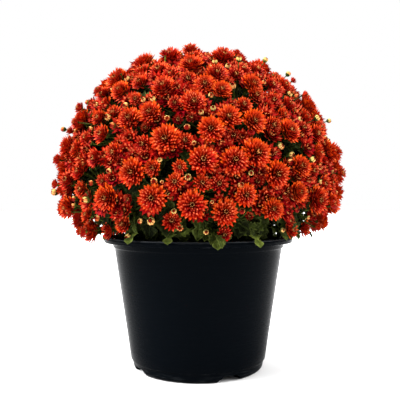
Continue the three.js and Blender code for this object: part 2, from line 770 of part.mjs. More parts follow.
const FLANGE_Z = POT_HEIGHT - FLANGE_THICKNESS;
const LEDGE_RADIUS = FOOT_RADIUS + 1.6;
const LIP_RADIUS = NECK_RADIUS + NECK_STEP + 0.4;
const ROUNDING = 1.2;
const OUTER_PROFILE = [
  [0, 0], [FOOT_RADIUS - 4.6, 0], [FOOT_RADIUS - 1.4, 1.6], [FOOT_RADIUS, 5],
  [LEDGE_RADIUS, FOOT_HEIGHT], [LEDGE_RADIUS + LEDGE, FOOT_HEIGHT + 0.8],
  [NECK_RADIUS, NECK_Z], [NECK_RADIUS + NECK_STEP, NECK_Z + 1.5],
  [LIP_RADIUS, FLANGE_Z], [RIM_RADIUS - ROUNDING, FLANGE_Z],
  [RIM_RADIUS, FLANGE_Z + ROUNDING], [RIM_RADIUS, POT_HEIGHT - ROUNDING],
  [RIM_RADIUS - ROUNDING, POT_HEIGHT],
];
const ROOM_PROFILE = [
  [0, FLOOR], [FOOT_RADIUS - 2.5, FLOOR], [LEDGE_RADIUS + LEDGE - WALL, FOOT_HEIGHT],
  [NECK_RADIUS - WALL, NECK_Z], [LIP_RADIUS - WALL, POT_HEIGHT + 5], [0, POT_HEIGHT + 5],
];

// A drain's arch, seen along the radius, grown by a margin, and run out through the wall.
// Its shoulders are rounded off where it shows.
function drainArch(index, grow, from, shoulders = []) {
  const wide = DRAIN_ARCH_HALF + grow;
  const flat = wide / 2;
  const high = DRAIN_ARCH_HEIGHT + grow;
  const arch = [
    [-wide, -1], [wide, -1], ...shoulders, [flat, high], [-flat, high],
    ...shoulders.map(([a, b]) => [-a, b]),
  ];
  const shape = new THREE.Shape(arch.map(([a, b]) => new THREE.Vector2(a, b)));
  const run = RIM_RADIUS - from;
  return solidOf(new THREE.ExtrudeGeometry(shape, { depth: run, bevelEnabled: false })
    .rotateX(Math.PI / 2).translate(0, -from, 0)
    .rotateZ(DRAIN_PHASE + (2 * Math.PI * index) / DRAINS));
}

// The pan with its drains: each arch is roofed inside the pot, and the roof has a hole.
function potSolid() {
  const body = lathe([...OUTER_PROFILE, [0, POT_HEIGHT]]);
  const room = lathe(ROOM_PROFILE);
  let roofs = null;
  let cuts = null;
  for (let i = 0; i < DRAINS; i += 1) {
    const roof = drainArch(i, WALL, DRAIN_ARCH_START - WALL);
    const angle = DRAIN_PHASE + (2 * Math.PI * i) / DRAINS - Math.PI / 2;
    const hole = solidOf(new THREE.CylinderGeometry(DRAIN_HOLE_RADIUS, DRAIN_HOLE_RADIUS, 8, 10)
      .rotateX(Math.PI / 2).translate(
        DRAIN_HOLE_OUT * Math.cos(angle), DRAIN_HOLE_OUT * Math.sin(angle), DRAIN_ARCH_HEIGHT));
    const cut = drainArch(i, 0, DRAIN_ARCH_START, [DRAIN_SHOULDER]).add(hole);
    roofs = roofs ? roofs.add(roof) : roof;
    cuts = cuts ? cuts.add(cut) : cut;
  }
  return body.subtract(room.subtract(roofs)).subtract(cuts);
}

function soilSolid() {
  const slope = (NECK_RADIUS - LEDGE_RADIUS - LEDGE) / (NECK_Z - FOOT_HEIGHT);
  const edge = NECK_RADIUS - WALL - SOIL_GAP - slope * (NECK_Z - SOIL_Z);
  let soil = lathe([
    [0, FLOOR + TOUCH_GAP], [FOOT_RADIUS - 2.5 - SOIL_GAP, FLOOR + TOUCH_GAP],
    [LEDGE_RADIUS + LEDGE - WALL - SOIL_GAP, FOOT_HEIGHT + TOUCH_GAP], [edge, SOIL_Z],
    [edge * 0.6, SOIL_Z + SOIL_MOUND * 0.8], [0, SOIL_Z + SOIL_MOUND],
  ]);
  for (let i = 0; i < DRAINS; i += 1) {
    soil = soil.subtract(drainArch(i, WALL + SOIL_GAP, DRAIN_ARCH_START - WALL - SOIL_GAP));
  }
  stemWays.forEach((way) => {
    const rings = stemRings(way, STEM_RADIUS + SOIL_GAP, STEM_FOOT_Z - TOUCH_GAP);
    const [low, high] = rings.map((row, i) => row.map((_, k) => i * STEM_SIDES + k));
    soil = soil.subtract(solid(rings.flat(),
      [...closing(low), ...stitch(low, high), ...closing([...high].reverse())]));
  });
  return soil;
}

// ---- The whole plant ----

const BLACK_PLASTIC = { color: 0x14171a, roughness: 0.38, metalness: 0 };
const DARK_SOIL = { color: 0x2b211a, roughness: 1, metalness: 0 };
const LEAF_GREEN = { color: 0x3c5222, roughness: 0.7, metalness: 0 };
const PETAL_RED = { color: 0xd8401a, roughness: 0.65, metalness: 0 };

const group = new THREE.Group();
group.add(meshOf('pot', potSolid(), BLACK_PLASTIC));
group.add(meshOf('soil', soilSolid(), DARK_SOIL));
stemWays.forEach((way, i) => {
  group.add(meshOf(`leafy_stem_${i + 1}`, stemSolid(way, i), LEAF_GREEN));
});
sprays.forEach((spray, i) => {
  const number = String(i + 1).padStart(2, '0');
  group.add(meshOf(`bloom_spray_${number}`, spraySolid(spray, i), PETAL_RED));
});

export default group;
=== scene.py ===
"""Pot chrysanthemum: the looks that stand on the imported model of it.

Laid out as an add-on and run as a script, with one operator for each group of like pieces.
The plant's plan is worked out in millimetres from seeded draws, the same as its solids are,
and every mesh is made in metres: +Z up, the front towards -Y.
"""

import math
from collections import namedtuple
from functools import cache, reduce

import bpy
import numpy as np
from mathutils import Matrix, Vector


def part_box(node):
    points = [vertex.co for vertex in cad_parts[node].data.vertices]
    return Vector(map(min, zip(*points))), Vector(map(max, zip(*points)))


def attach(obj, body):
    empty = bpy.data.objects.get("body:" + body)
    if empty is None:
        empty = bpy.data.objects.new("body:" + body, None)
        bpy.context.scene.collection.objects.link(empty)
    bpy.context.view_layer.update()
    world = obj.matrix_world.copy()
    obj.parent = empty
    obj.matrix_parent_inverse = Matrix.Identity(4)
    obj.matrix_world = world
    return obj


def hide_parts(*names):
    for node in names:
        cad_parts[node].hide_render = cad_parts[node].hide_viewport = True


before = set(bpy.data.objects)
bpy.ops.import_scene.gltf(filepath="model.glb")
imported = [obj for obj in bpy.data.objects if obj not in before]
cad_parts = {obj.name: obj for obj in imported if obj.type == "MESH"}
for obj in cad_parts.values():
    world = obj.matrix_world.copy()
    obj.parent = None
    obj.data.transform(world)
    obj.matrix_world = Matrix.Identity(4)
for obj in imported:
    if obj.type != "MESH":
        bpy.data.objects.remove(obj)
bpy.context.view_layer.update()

bl_info = {
    "name": "Pot chrysanthemum",
    "version": (1, 0, 0),
    "blender": (4, 5, 0),
    "location": "3D View > Sidebar > Pot mum",
    "description": "Petals, leaves, soil and pot finish of a garden mum in full bloom",
    "category": "Object",
}

MM = 0.001
UP = np.array([0.0, 0.0, 1.0])
GOLDEN_ANGLE = math.pi * (3 - math.sqrt(5))
# Seeds of the draws that each stem, each spray and the soil make for themselves.
STEM_SEED = 500
SPRAY_SEED = 900
SOIL_SEED = 77


# ---- The plan: the same named values as the solids ----

CROWN = np.array([0.0, 0.0, 195.0])
FACING_CENTRE = np.array([0.0, 0.0, 190.0])
FACING_RISE = 0.5
DOME_RADIUS = 187
DOME_WAIST_Z = 240
DOME_RISE = 182
DOME_DROP = 95
DOME_LOW_Z = 184
FORK_DISTANCE = 50
SPRAY_COUNT = 48
SPRAY_DEPTH = 48
STEM_SPREAD = 0.8
SOIL_Z = 158
SKIRT_LEAVES = 16
STEM_DEPTH = 12
PLAN_SEED = 20417
# Each seeded draw is the last one times a factor plus a step, inside a range.
DRAW_FACTOR = 1664525
DRAW_STEP = 1013904223
DRAW_RANGE = 4294967296
DARTS = 9000
SEEN_SQUARELY = 0.55
# The front viewer: the eye, and the field of view in 400ths, with its scale and its middle.
EYE = np.array([0.0, -786.0, 219.0])
FIELD_SIZE = 400
FIELD_SCALE = 575
FIELD_ACROSS = 198.2
FIELD_DOWN = 204

# Kinds of bloom: how many, how deep they sit, their least and greatest radius, how near to
# one another they stand and how far they lean. The last four are in the looks only.
Kind = namedtuple("Kind", "name count depth low high spacing lean")
LARGE = Kind("large", 125, 0, 15, 17.5, 1.12, 0.14)
MEDIUM = Kind("medium", 140, 5, 10.5, 13.5, 0.88, 0.25)
SMALL = Kind("small", 38, 10, 6.5, 8.5, 0.8, 0.25)
BUD = Kind("bud", 18, 7, 3.8, 4.6, 0.85, 0.25)
TINY_BUD = Kind("bud", 135, 3, 2.6, 4.2, 0.72, 0.3)
UNDER = Kind("under", 490, 9, 11, 15, 0.38, 0.3)
STRAY = Kind("small", 18, -8, 4.8, 6.6, 0.8, 0.4)
STRAY_BUD = Kind("bud", 24, -9, 2.8, 4.0, 0.8, 0.3)
UNDER_LOW_Z = 208
Bloom = namedtuple("Bloom", "kind centre radius facing spray spin")

# Blooms on the side towards the front viewer: across, down and diameter in 400ths.
SEEN_LARGE = [
    (132, 172, 32), (165, 139, 33), (203, 160, 33), (235, 160, 31), (211, 129, 30),
    (257, 153, 34), (277, 174, 31), (192, 205, 32), (225, 212, 30), (152, 198, 31),
    (106, 198, 29), (318, 200, 30), (301, 166, 26), (273, 209, 25), (246, 195, 25),
    (299, 192, 23), (129, 118, 27), (150, 112, 26), (163, 86, 27), (120, 90, 23),
    (194, 102, 28), (191, 64, 27), (229, 117, 28), (253, 84, 25), (254, 121, 28),
    (222, 90, 23), (290, 131, 28), (205, 84, 24), (217, 73, 24),
]
SEEN_MEDIUM = [
    (114, 152, 22), (95, 158, 22), (79, 171, 22), (68, 180, 24), (102, 134, 22),
    (143, 144, 22), (185, 141, 20), (153, 168, 20), (180, 167, 17), (175, 182, 21),
    (202, 183, 20), (219, 184, 21), (172, 221, 21), (123, 224, 21), (224, 234, 18),
    (87, 215, 18), (103, 181, 16), (86, 138, 18), (338, 177, 18), (318, 152, 20),
    (105, 104, 18), (140, 82, 19), (188, 79, 19), (159, 70, 23), (136, 99, 16),
    (175, 103, 17), (220, 56, 20), (243, 70, 20), (257, 70, 18), (256, 95, 20),
    (244, 105, 20), (273, 100, 19), (289, 104, 19), (283, 115, 18), (305, 117, 20),
    (321, 129, 20), (272, 85, 18), (273, 125, 21), (190, 49, 18),
]
SEEN_SMALL = [
    (205, 147, 14), (233, 136, 16), (275, 154, 15), (257, 181, 16), (289, 220, 14),
    (311, 215, 16), (84, 232, 12), (57, 160, 12), (55, 183, 10), (129, 199, 11),
    (249, 216, 10), (316, 227, 10), (334, 206, 14), (286, 85, 15), (306, 97, 12),
    (178, 120, 12), (192, 118, 13), (146, 128, 13), (126, 131, 12), (80, 108, 13),
    (97, 92, 11), (78, 121, 13), (91, 106, 11), (173, 71, 12), (165, 54, 11),
    (239, 59, 11), (70, 131, 11), (119, 73, 10), (98, 114, 10),
]
SEEN_BUD = [
    (188, 177, 8), (170, 196, 7), (206, 232, 6), (242, 211, 7), (281, 146, 8),
    (292, 155, 7), (128, 237, 8), (276, 75, 7), (313, 108, 7), (187, 127, 7),
]
# Further small buds of the same side, which only the looks show.
SEEN_TINY = [
    (154, 181, 7.5), (162, 182, 4), (222, 143, 5), (194, 143, 5), (160, 160, 5),
    (174, 211, 6), (180, 228, 7), (212, 202, 4), (241, 185, 7), (251, 173, 6),
    (291, 162, 7), (321, 171, 6), (297, 210, 6), (285, 196, 7), (140, 221, 6),
    (109, 171, 6), (91, 183, 6), (78, 192, 6), (85, 200, 8), (121, 213, 7),
    (62, 145, 5), (211, 95, 6), (213, 108, 6), (167, 118, 6), (153, 99, 6),
    (201, 112, 6), (108, 117, 8), (305, 104, 7), (297, 97, 7), (290, 94, 6),
    (251, 132, 9), (228, 66, 6), (54, 192, 8), (151, 221, 9), (283, 230, 5),
]
# Small blooms of the same side that stand out of its outline, which only the looks show.
SEEN_STRAY = [
    (57, 159, 11), (55, 185, 10), (69, 213, 10), (83, 232, 12), (341, 173, 14),
    (339, 152, 10), (333, 205, 12), (318, 227, 11), (305, 95, 11), (119, 72, 10),
    (98, 90, 10), (79, 108, 11), (75, 122, 10), (165, 53, 10), (237, 52, 9),
]


def unit(vectors):
    """Each vector divided by its length."""
    return vectors / np.maximum(np.linalg.norm(vectors, axis=-1, keepdims=True), 1e-9)


def across(axis):
    """Two unit vectors across an axis: the first is square to a helper direction, and the
    second is the axis crossed with the first."""
    helper = UP if abs(axis[2]) < 0.9 else np.array([0.0, 1.0, 0.0])
    first = unit(np.cross(helper, axis))
    return first, np.cross(axis, first)


def place(azimuth, radius, z):
    """A point at an azimuth, a radius and a height."""
    return np.array([radius * math.cos(azimuth), radius * math.sin(azimuth), z])


def around(angles):
    """Level unit vectors at angles round Z."""
    return np.stack([np.cos(angles), np.sin(angles), np.zeros(len(angles))], axis=-1)


def quarter_turned(ways):
    """Level vectors turned a quarter round Z."""
    return np.stack([-ways[..., 1], ways[..., 0], ways[..., 2]], axis=-1)


def dome_radius(z, depth=0):
    """Radius of the dome at a height: waist radius times the root of one less the squared
    share of the reach, with another reach over the waist than under it."""
    reach = (DOME_RISE if z > DOME_WAIST_Z else DOME_DROP) - depth
    share = (z - DOME_WAIST_Z) / reach
    return (DOME_RADIUS - depth) * math.sqrt(max(0.0, 1 - share * share))


def dome_point(start, way, depth=0, root=1):
    """Where a line meets the dome, or passes nearest to it: the far root (1) or the near one
    (-1) of the square equation for the upper half ellipsoid squashed to a ball, or for the
    lower one if that point is under the waist."""
    def meet(reach):
        squash = np.array([1, 1, (DOME_RADIUS - depth) / reach])
        line = way * squash
        offset = (start - [0, 0, DOME_WAIST_Z]) * squash
        b = offset @ line / (line @ line)
        c = (offset @ offset - (DOME_RADIUS - depth) ** 2) / (line @ line)
        return start + way * (-b + root * math.sqrt(max(0.0, b * b - c)))
    point = meet(DOME_RISE - depth)
    return point if point[2] >= DOME_WAIST_Z else meet(DOME_DROP - depth)


class Plan:
    """Where the sprays, stems and blooms of the plant are, from one run of seeded draws."""

    def __init__(self):
        self.seed = PLAN_SEED
        self.blooms = []
        top = DOME_WAIST_Z + DOME_RISE
        heights = [top - (i + 0.5) / SPRAY_COUNT * (top - DOME_LOW_Z)
                   for i in range(SPRAY_COUNT)]
        self.spray_ways = np.array([
            unit(place(i * GOLDEN_ANGLE, dome_radius(z), z) - CROWN)
            for i, z in enumerate(heights)])
        self.hubs = np.array([
            dome_point(CROWN, way) - way * SPRAY_DEPTH for way in self.spray_ways])
        self.stem_ways = np.array([UP, *[
            place(2 * math.pi * (i + shift) / many, math.cos(rise), math.sin(rise))
            for many, shift, rise in ((3, 0.2, math.radians(48)), (5, 0.75, math.radians(8)))
            for i in range(many)]])
        for kind, seen in ((LARGE, SEEN_LARGE), (MEDIUM, SEEN_MEDIUM),
                           (SMALL, SEEN_SMALL), (BUD, SEEN_BUD)):
            self.add_seen(kind, seen)
        for kind in (LARGE, MEDIUM, SMALL, BUD):
            self.add_darts(kind)
        for kind, seen in ((TINY_BUD, SEEN_TINY), (UNDER, ()), (STRAY, SEEN_STRAY),
                           (STRAY_BUD, ())):
            self.add_seen(kind, seen)
            self.add_darts(kind)

    def between(self, low, high):
        """The next seeded draw, scaled to a range."""
        self.seed = (self.seed * DRAW_FACTOR + DRAW_STEP) % DRAW_RANGE
        return low + (high - low) * (self.seed / DRAW_RANGE)

    def add_bloom(self, kind, centre, radius):
        """Adds a bloom that faces away from the facing centre, with its rise scaled down and
        a small drawn lean, and belongs to the spray whose way is nearest to its own."""
        facing = unit(unit(centre - FACING_CENTRE) * [1, 1, FACING_RISE])
        first, second = across(facing)
        facing = facing + first * self.between(-kind.lean, kind.lean)
        facing = unit(facing + second * self.between(-kind.lean, kind.lean))
        spray = int(np.argmax(self.spray_ways @ unit(centre - CROWN)))
        spin = self.between(0, 2 * math.pi)
        self.blooms.append(Bloom(kind, centre, radius, facing, spray, spin))

    def add_seen(self, kind, seen):
        """Adds the blooms of one list where the front viewer's lines of sight meet the dome,
        each sized by its distance from the viewer."""
        for across_field, down_field, size in seen:
            way = np.array([(across_field - FIELD_ACROSS) / FIELD_SCALE, 1.0,
                            (FIELD_DOWN - down_field) / FIELD_SCALE])
            centre = dome_point(EYE, way, kind.depth, -1)
            self.add_bloom(kind, centre, size / 2 / FIELD_SCALE * (centre[1] - EYE[1]))

    def add_darts(self, kind):
        """Adds blooms at drawn spots that are far enough from every bloom so far. Only the
        hidden ones may face the front viewer squarely, where the lists serve the others."""
        wanted = kind.count - sum(bloom.kind is kind for bloom in self.blooms)
        centres = np.array([bloom.centre for bloom in self.blooms])
        radii = np.array([bloom.radius for bloom in self.blooms])
        for _ in range(DARTS):
            if wanted <= 0:
                break
            azimuth = self.between(0, 2 * math.pi)
            z = self.between(UNDER_LOW_Z if kind is UNDER else DOME_LOW_Z,
                             DOME_WAIST_Z + DOME_RISE - kind.depth)
            radius = self.between(kind.low, kind.high)
            centre = place(azimuth, dome_radius(z, kind.depth), z)
            squarely = unit(centre - FACING_CENTRE) @ unit(EYE - centre)
            apart = np.linalg.norm(centres - centre, axis=1)
            if (apart > kind.spacing * (radii + radius)).all() and (
                    kind is UNDER or squarely <= SEEN_SQUARELY):
                self.add_bloom(kind, centre, radius)
                centres = np.vstack([centres, centre])
                radii = np.append(radii, radius)
                wanted -= 1


@cache
def plant_plan():
    """The one plan that stems and sprays share."""
    return Plan()


# ---- Arrays to meshes ----

class Heap:
    """Arrays gathered for one piece: points with their traits, and faces with their look.

    The four traits are along (0 at a base, 1 at a tip), side (0 upper face, 0.5 edge, 1
    underside), age and tone, which on petals and leaves also carries painted light and shade.
    """

    def __init__(self):
        self.count = 0
        self.points, self.traits = [], []
        self.quads, self.triangles = [np.zeros((0, 5), int)], [np.zeros((0, 4), int)]

    def add(self, points, traits, quads, triangles, look):
        """Adds copies of one pattern of faces, one for each row of points."""
        copies, size = points.shape[:2]
        shift = self.count + np.arange(copies)[:, None, None] * size
        for faces, kept in ((quads, self.quads), (triangles, self.triangles)):
            moved = (np.asarray(faces)[None] + shift).reshape(-1, np.shape(faces)[1])
            kept.append(np.column_stack([moved, np.full(len(moved), look)]))
        self.points.append(points.reshape(-1, 3))
        self.traits.append(traits.reshape(-1, 4))
        self.count += copies * size

    def piece(self, name, looks, sharp=60.0):
        """The gathered arrays as one object with its traits in a colour attribute."""
        points = np.concatenate(self.points) * MM
        quads, triangles = np.concatenate(self.quads), np.concatenate(self.triangles)
        corners = np.concatenate([quads[:, :4].ravel(), triangles[:, :3].ravel()])
        starts = np.concatenate([
            np.arange(len(quads)) * 4, len(quads) * 4 + np.arange(len(triangles)) * 3])
        mesh = bpy.data.meshes.new(name)
        mesh.vertices.add(len(points))
        mesh.vertices.foreach_set("co", points.astype(np.float32).ravel())
        mesh.loops.add(len(corners))
        mesh.loops.foreach_set("vertex_index", corners.astype(np.int32))
        mesh.polygons.add(len(starts))
        mesh.polygons.foreach_set("loop_start", starts.astype(np.int32))
        mesh.polygons.foreach_set("material_index", np.concatenate(
            [quads[:, 4], triangles[:, 3]]).astype(np.int32))
        mesh.update(calc_edges=True)
        mesh.shade_smooth()
        mesh.set_sharp_from_angle(angle=math.radians(sharp))
        traits = mesh.color_attributes.new("traits", "FLOAT_COLOR", "POINT")
        traits.data.foreach_set("color", np.concatenate(self.traits).astype(np.float32).ravel())
        for look in looks:
            mesh.materials.append(look)
        made = bpy.data.objects.new(name, mesh)
        bpy.context.scene.collection.objects.link(made)
        return made


def rows_of(*values):
    """Values that fit one shape, laid side by side as trait rows."""
    return np.stack(np.broadcast_arrays(*values), axis=-1).astype(float)


def walls(stations, sides):
    """Quads between neighbouring rings of points, which are numbered ring by ring."""
    j, k = np.meshgrid(np.arange(stations - 1), np.arange(sides), indexing="ij")
    turn = (k + 1) % sides
    return np.stack([sides * j + k, sides * j + turn, sides * (j + 1) + turn,
                     sides * (j + 1) + k], axis=-1).reshape(-1, 4)


def fan(first, sides, pole):
    """Triangles from the ring that starts at a point number to a pole."""
    corner = np.arange(sides)
    return np.stack([first + corner, first + (corner + 1) % sides, np.full(sides, pole)],
                    axis=-1)


def add_blades(heap, line, side, up, half, sweep, cup, thick, shares, age, tone):
    """Closed blades, all at once. At each station of a middle line but its last stand four
    points: right edge, top, left edge and underside. The edges are the half width out, swept
    on by sweep and lifted by cup times the half width; top and underside are half the
    thickness off. The first station has a flat end and the line's last point closes the
    tip. The shares are the stations' places along the blade."""
    blades, stations = half.shape
    middle, side, up = line[:, :-1], side[:, :-1], up[:, :-1]
    out, rise = half[..., None] * side, thick / 2 * up
    edge = middle + (cup * half)[..., None] * up + sweep[..., None] * np.cross(up, side)
    rows = np.stack([edge + out, middle + rise, edge - out, middle - rise], axis=2)
    points = np.concatenate([rows.reshape(blades, -1, 3), line[:, -1:]], axis=1)
    face = np.array([0.5, 0.0, 0.5, 1.0])[None, None]
    traits = rows_of(shares[None, :, None], face, age[:, None, None], tone[:, None, None])
    ends = rows_of(np.ones(blades), 0.5, age, tone)[:, None]
    traits = np.concatenate([traits.reshape(blades, -1, 4), ends], axis=1)
    last = 4 * (stations - 1)
    quads = np.concatenate([walls(stations, 4), [[3, 2, 1, 0]]])
    heap.add(points, traits, quads, fan(last, 4, last + 4), 0)


def add_skins(heap, look, rings, poles, tone):
    """Closed skins, all at once: quads between neighbouring rings of points, and a fan of
    triangles from the first ring and from the last one to their poles."""
    skins, stations, sides = rings.shape[:3]
    tone = np.broadcast_to(tone, skins)
    share = np.linspace(0, 1, stations)[None, :, None]
    body = rows_of(share, np.zeros((1, 1, sides)), 0.0, tone[:, None, None])
    ends = rows_of(np.array([[0.0, 1.0]]), 0.0, 0.0, tone[:, None])
    last, pole = sides * (stations - 1), sides * stations
    heap.add(np.concatenate([rings.reshape(skins, -1, 3), poles], axis=1),
             np.concatenate([body.reshape(skins, -1, 4), ends], axis=1), walls(stations, sides),
             np.concatenate([fan(0, sides, pole)[:, [1, 0, 2]], fan(last, sides, pole + 1)]),
             look)


def add_tubes(heap, look, path, radius, tone, sides=6):
    """Closed round tubes, all at once: at each station of a path a ring of points at the
    radius, across the path's own direction, and a pole at each end."""
    ahead = unit(np.gradient(path, axis=1))
    chord = unit(path[:, -1] - path[:, 0])
    helper = np.where(np.abs(chord[:, 2:]) < 0.8, UP, [1.0, 0.0, 0.0])[:, None]
    first = unit(np.cross(np.broadcast_to(helper, ahead.shape), ahead))
    second = np.cross(ahead, first)
    angle = np.arange(sides)[:, None] * 2 * math.pi / sides
    ring = np.cos(angle) * first[:, :, None] + np.sin(angle) * second[:, :, None]
    radius = np.broadcast_to(radius, path.shape[:2])[..., None, None]
    add_skins(heap, look, path[:, :, None] + radius * ring, path[:, [0, -1]], tone)


def add_bows(heap, look, controls, stations, taper, tone, sides):
    """Round stalks along cubic curves at even shares: the four control points weighted by the
    cubic Bernstein terms, with a radius that tapers evenly. Returns their middle lines."""
    t = np.linspace(0, 1, stations)[None, :, None]
    weights = ((1 - t) ** 3, 3 * t * (1 - t) ** 2, 3 * t * t * (1 - t), t ** 3)
    path = sum(weight * np.atleast_2d(point)[:, None]
               for weight, point in zip(weights, controls))
    add_tubes(heap, look, path, np.linspace(*taper, stations), tone, sides)
    return path


# ---- Materials ----

class Look:
    """A node material with one shader, and a short way to add a node and wire it."""

    def __init__(self, name, roughness, specular):
        self.material = bpy.data.materials.new(name)
        self.material.use_nodes = True
        self.tree = self.material.node_tree
        self.shader = self.tree.nodes["Principled BSDF"]
        self.shader.inputs["Roughness"].default_value = roughness
        self.shader.inputs["Specular IOR Level"].default_value = specular

    def node(self, kind, inputs=None, **settings):
        """A new node with its settings, its inputs set to values or wired to sockets."""
        made = self.tree.nodes.new("ShaderNode" + kind)
        for key, value in settings.items():
            setattr(made, key, value)
        for key, value in (inputs or {}).items():
            if isinstance(value, bpy.types.NodeSocket):
                self.tree.links.new(value, made.inputs[key])
            else:
                made.inputs[key].default_value = value
        return made

    def ramp(self, factor, *stops):
        """A colour ramp over (position, colour) stops."""
        made = self.node("ValToRGB", {"Fac": factor})
        elements = made.color_ramp.elements
        while len(elements) < len(stops):
            elements.new(0.5)
        for element, (position, colour) in zip(elements, stops):
            element.position = position
            element.color = (*colour, 1.0)
        return made.outputs["Color"]

    def mix(self, factor, first, second, blend="MIX"):
        """Two colours mixed by a factor."""
        first, second = (
            colour if isinstance(colour, bpy.types.NodeSocket) else (*colour, 1.0)
            for colour in (first, second))
        return self.node("Mix", {0: factor, 6: first, 7: second}, data_type="RGBA",
                         blend_type=blend).outputs[2]

    def over(self, colour, paint, *factors):
        """A colour with a paint over it, as strong as the product of the factors."""
        return self.mix(self.times(*factors), colour, paint)

    def math(self, operation, first, second=0.5, clamp=False):
        """One step of arithmetic on two numbers or sockets."""
        return self.node("Math", {0: first, 1: second}, operation=operation,
                         use_clamp=clamp).outputs[0]

    def times(self, *values):
        """The product of the values."""
        return reduce(lambda first, second: self.math("MULTIPLY", first, second), values)

    def span(self, value, low, high, to_low=0.0, to_high=1.0):
        """A value mapped from one range to another and held inside it."""
        return self.node("MapRange", {"Value": value, "From Min": low, "From Max": high,
                                      "To Min": to_low, "To Max": to_high}).outputs[0]

    def traits(self):
        """Along, side, age and tone of the piece's own attribute."""
        read = self.node("Attribute", attribute_name="traits")
        parts = self.node("SeparateColor", {"Color": read.outputs["Color"]})
        return (*[parts.outputs[i] for i in range(3)], read.outputs["Alpha"])

    def noise(self, scale, detail=3.0, roughness=0.5, vector=None):
        """Noise on Object coordinates, or on a vector."""
        vector = vector or self.node("TexCoord").outputs["Object"]
        return self.node("TexNoise", {"Vector": vector, "Scale": scale, "Detail": detail,
                                      "Roughness": roughness}).outputs[0]

    def finish(self, colour, bump=None, roughness=None):
        """Wires the colour, a bump of (height, strength, distance) and a roughness into the
        shader."""
        self.tree.links.new(colour, self.shader.inputs["Base Color"])
        if bump:
            raised = self.node("Bump", dict(zip(("Height", "Strength", "Distance"), bump)))
            self.tree.links.new(raised.outputs[0], self.shader.inputs["Normal"])
        if roughness:
            self.tree.links.new(roughness, self.shader.inputs["Roughness"])
        return self.material


def petal_look(plant):
    """Petal: deep red at its base and orange-red at its tip, redder and darker towards the eye
    and by tone, which carries painted light and shade, with fine lengthwise veins, painted
    shade along the sides between petals, painted highlights on the tips of some petals, which a
    zigzag over the tone picks by chance, a hue that wanders a little, and a reverse that goes
    from dull crimson on the outer petals to gold in the eye and on buds."""
    look = Look("petal_skin", 0.45, 0.02)
    span = look.span
    along, side, age, tone = look.traits()
    bright = look.ramp(along, (0.0, plant.petal_base), (0.4, plant.petal_base),
                       (0.7, plant.petal_middle), (1.0, plant.petal_tip))
    # More orange at the tips of high tones: partly a painted glow on lit petals, since the tone
    # carries painted light.
    bright = look.over(bright, (0.80, 0.092, 0.004), span(along, 0.7, 1.0),
                       span(tone, 0.65, 1.0))
    # Dull dark red for low tones: painted shade on hidden blooms and shaded petals, and the
    # drawn spread of duller tones.
    dull = look.ramp(along, (0.0, (0.05, 0.002, 0.001)), (0.45, (0.07, 0.002, 0.001)),
                     (0.75, (0.16, 0.004, 0.001)), (1.0, (0.42, 0.020, 0.003)))
    dim = look.ramp(age, (0.0, (1.04, 1.14, 1.0)), (0.08, (0.95, 0.88, 1.0)),
                    (0.16, (0.78, 0.42, 0.8)), (0.3, (0.60, 0.20, 0.7)),
                    (0.5, (0.46, 0.18, 0.5)), (0.68, (0.32, 0.18, 0.4)),
                    (1.0, (0.14, 0.14, 0.3)))
    face = look.mix(1.0, look.mix(span(tone, 0.05, 0.8), dull, bright), dim, "MULTIPLY")
    opened = look.ramp(age, (0.0, (0.30, 0.012, 0.003)), (0.5, (0.36, 0.014, 0.005)),
                       (0.7, (0.50, 0.14, 0.03)), (0.9, (0.68, 0.33, 0.10)))
    closed = look.ramp(tone, (0.0, (0.26, 0.016, 0.006)), (0.2, (0.60, 0.14, 0.03)),
                       (0.45, plant.bud_gold), (0.8, (0.52, 0.44, 0.12)))
    back = look.mix(span(age, 0.94, 1.0), opened, closed)
    colour = look.mix(span(side, 0.55, 0.8), face, back)
    # Painted shade along each petal's edges, between neighbouring petals: strongest towards the
    # base, weaker towards the tip, and none in the eye.
    colour = look.over(colour, (0.09, 0.003, 0.001), span(side, 0.2, 0.5),
                       span(side, 0.8, 0.5), span(along, 0.5, 1.0, 0.55, 0.1),
                       span(age, 0.7, 0.85, 1.0, 0.0))
    # Painted highlight: pale pink tips on the upper face of some petals, outside the eye and on
    # all but the lowest tones.
    chance = look.math("PINGPONG", look.times(tone, 41.0))
    colour = look.over(colour, (1.0, 0.27, 0.10), span(along, 0.78, 0.98),
                       span(age, 0.85, 0.7), span(tone, 0.1, 0.4),
                       span(chance, 0.1, 0.4, 0.1, 1.0), span(side, 0.4, 0.1))
    stretched = look.node("CombineXYZ", {
        0: look.times(side, 26.0), 1: look.times(along, 2.2), 2: look.times(tone, 60.0)})
    veins = look.noise(1.0, 2.0, vector=stretched.outputs[0])
    colour = look.over(colour, (0.10, 0.002, 0.002), span(veins, 0.35, 0.62, 0.35, 0.0))
    colour = look.node("HueSaturation", {
        "Color": colour, "Value": span(look.noise(420.0, 4.0), 0.3, 0.7, 0.88, 1.08),
        "Hue": span(tone, 0.0, 1.0, 0.496, 0.504)})
    return look.finish(colour.outputs[0], (veins, 0.35, 0.0003))


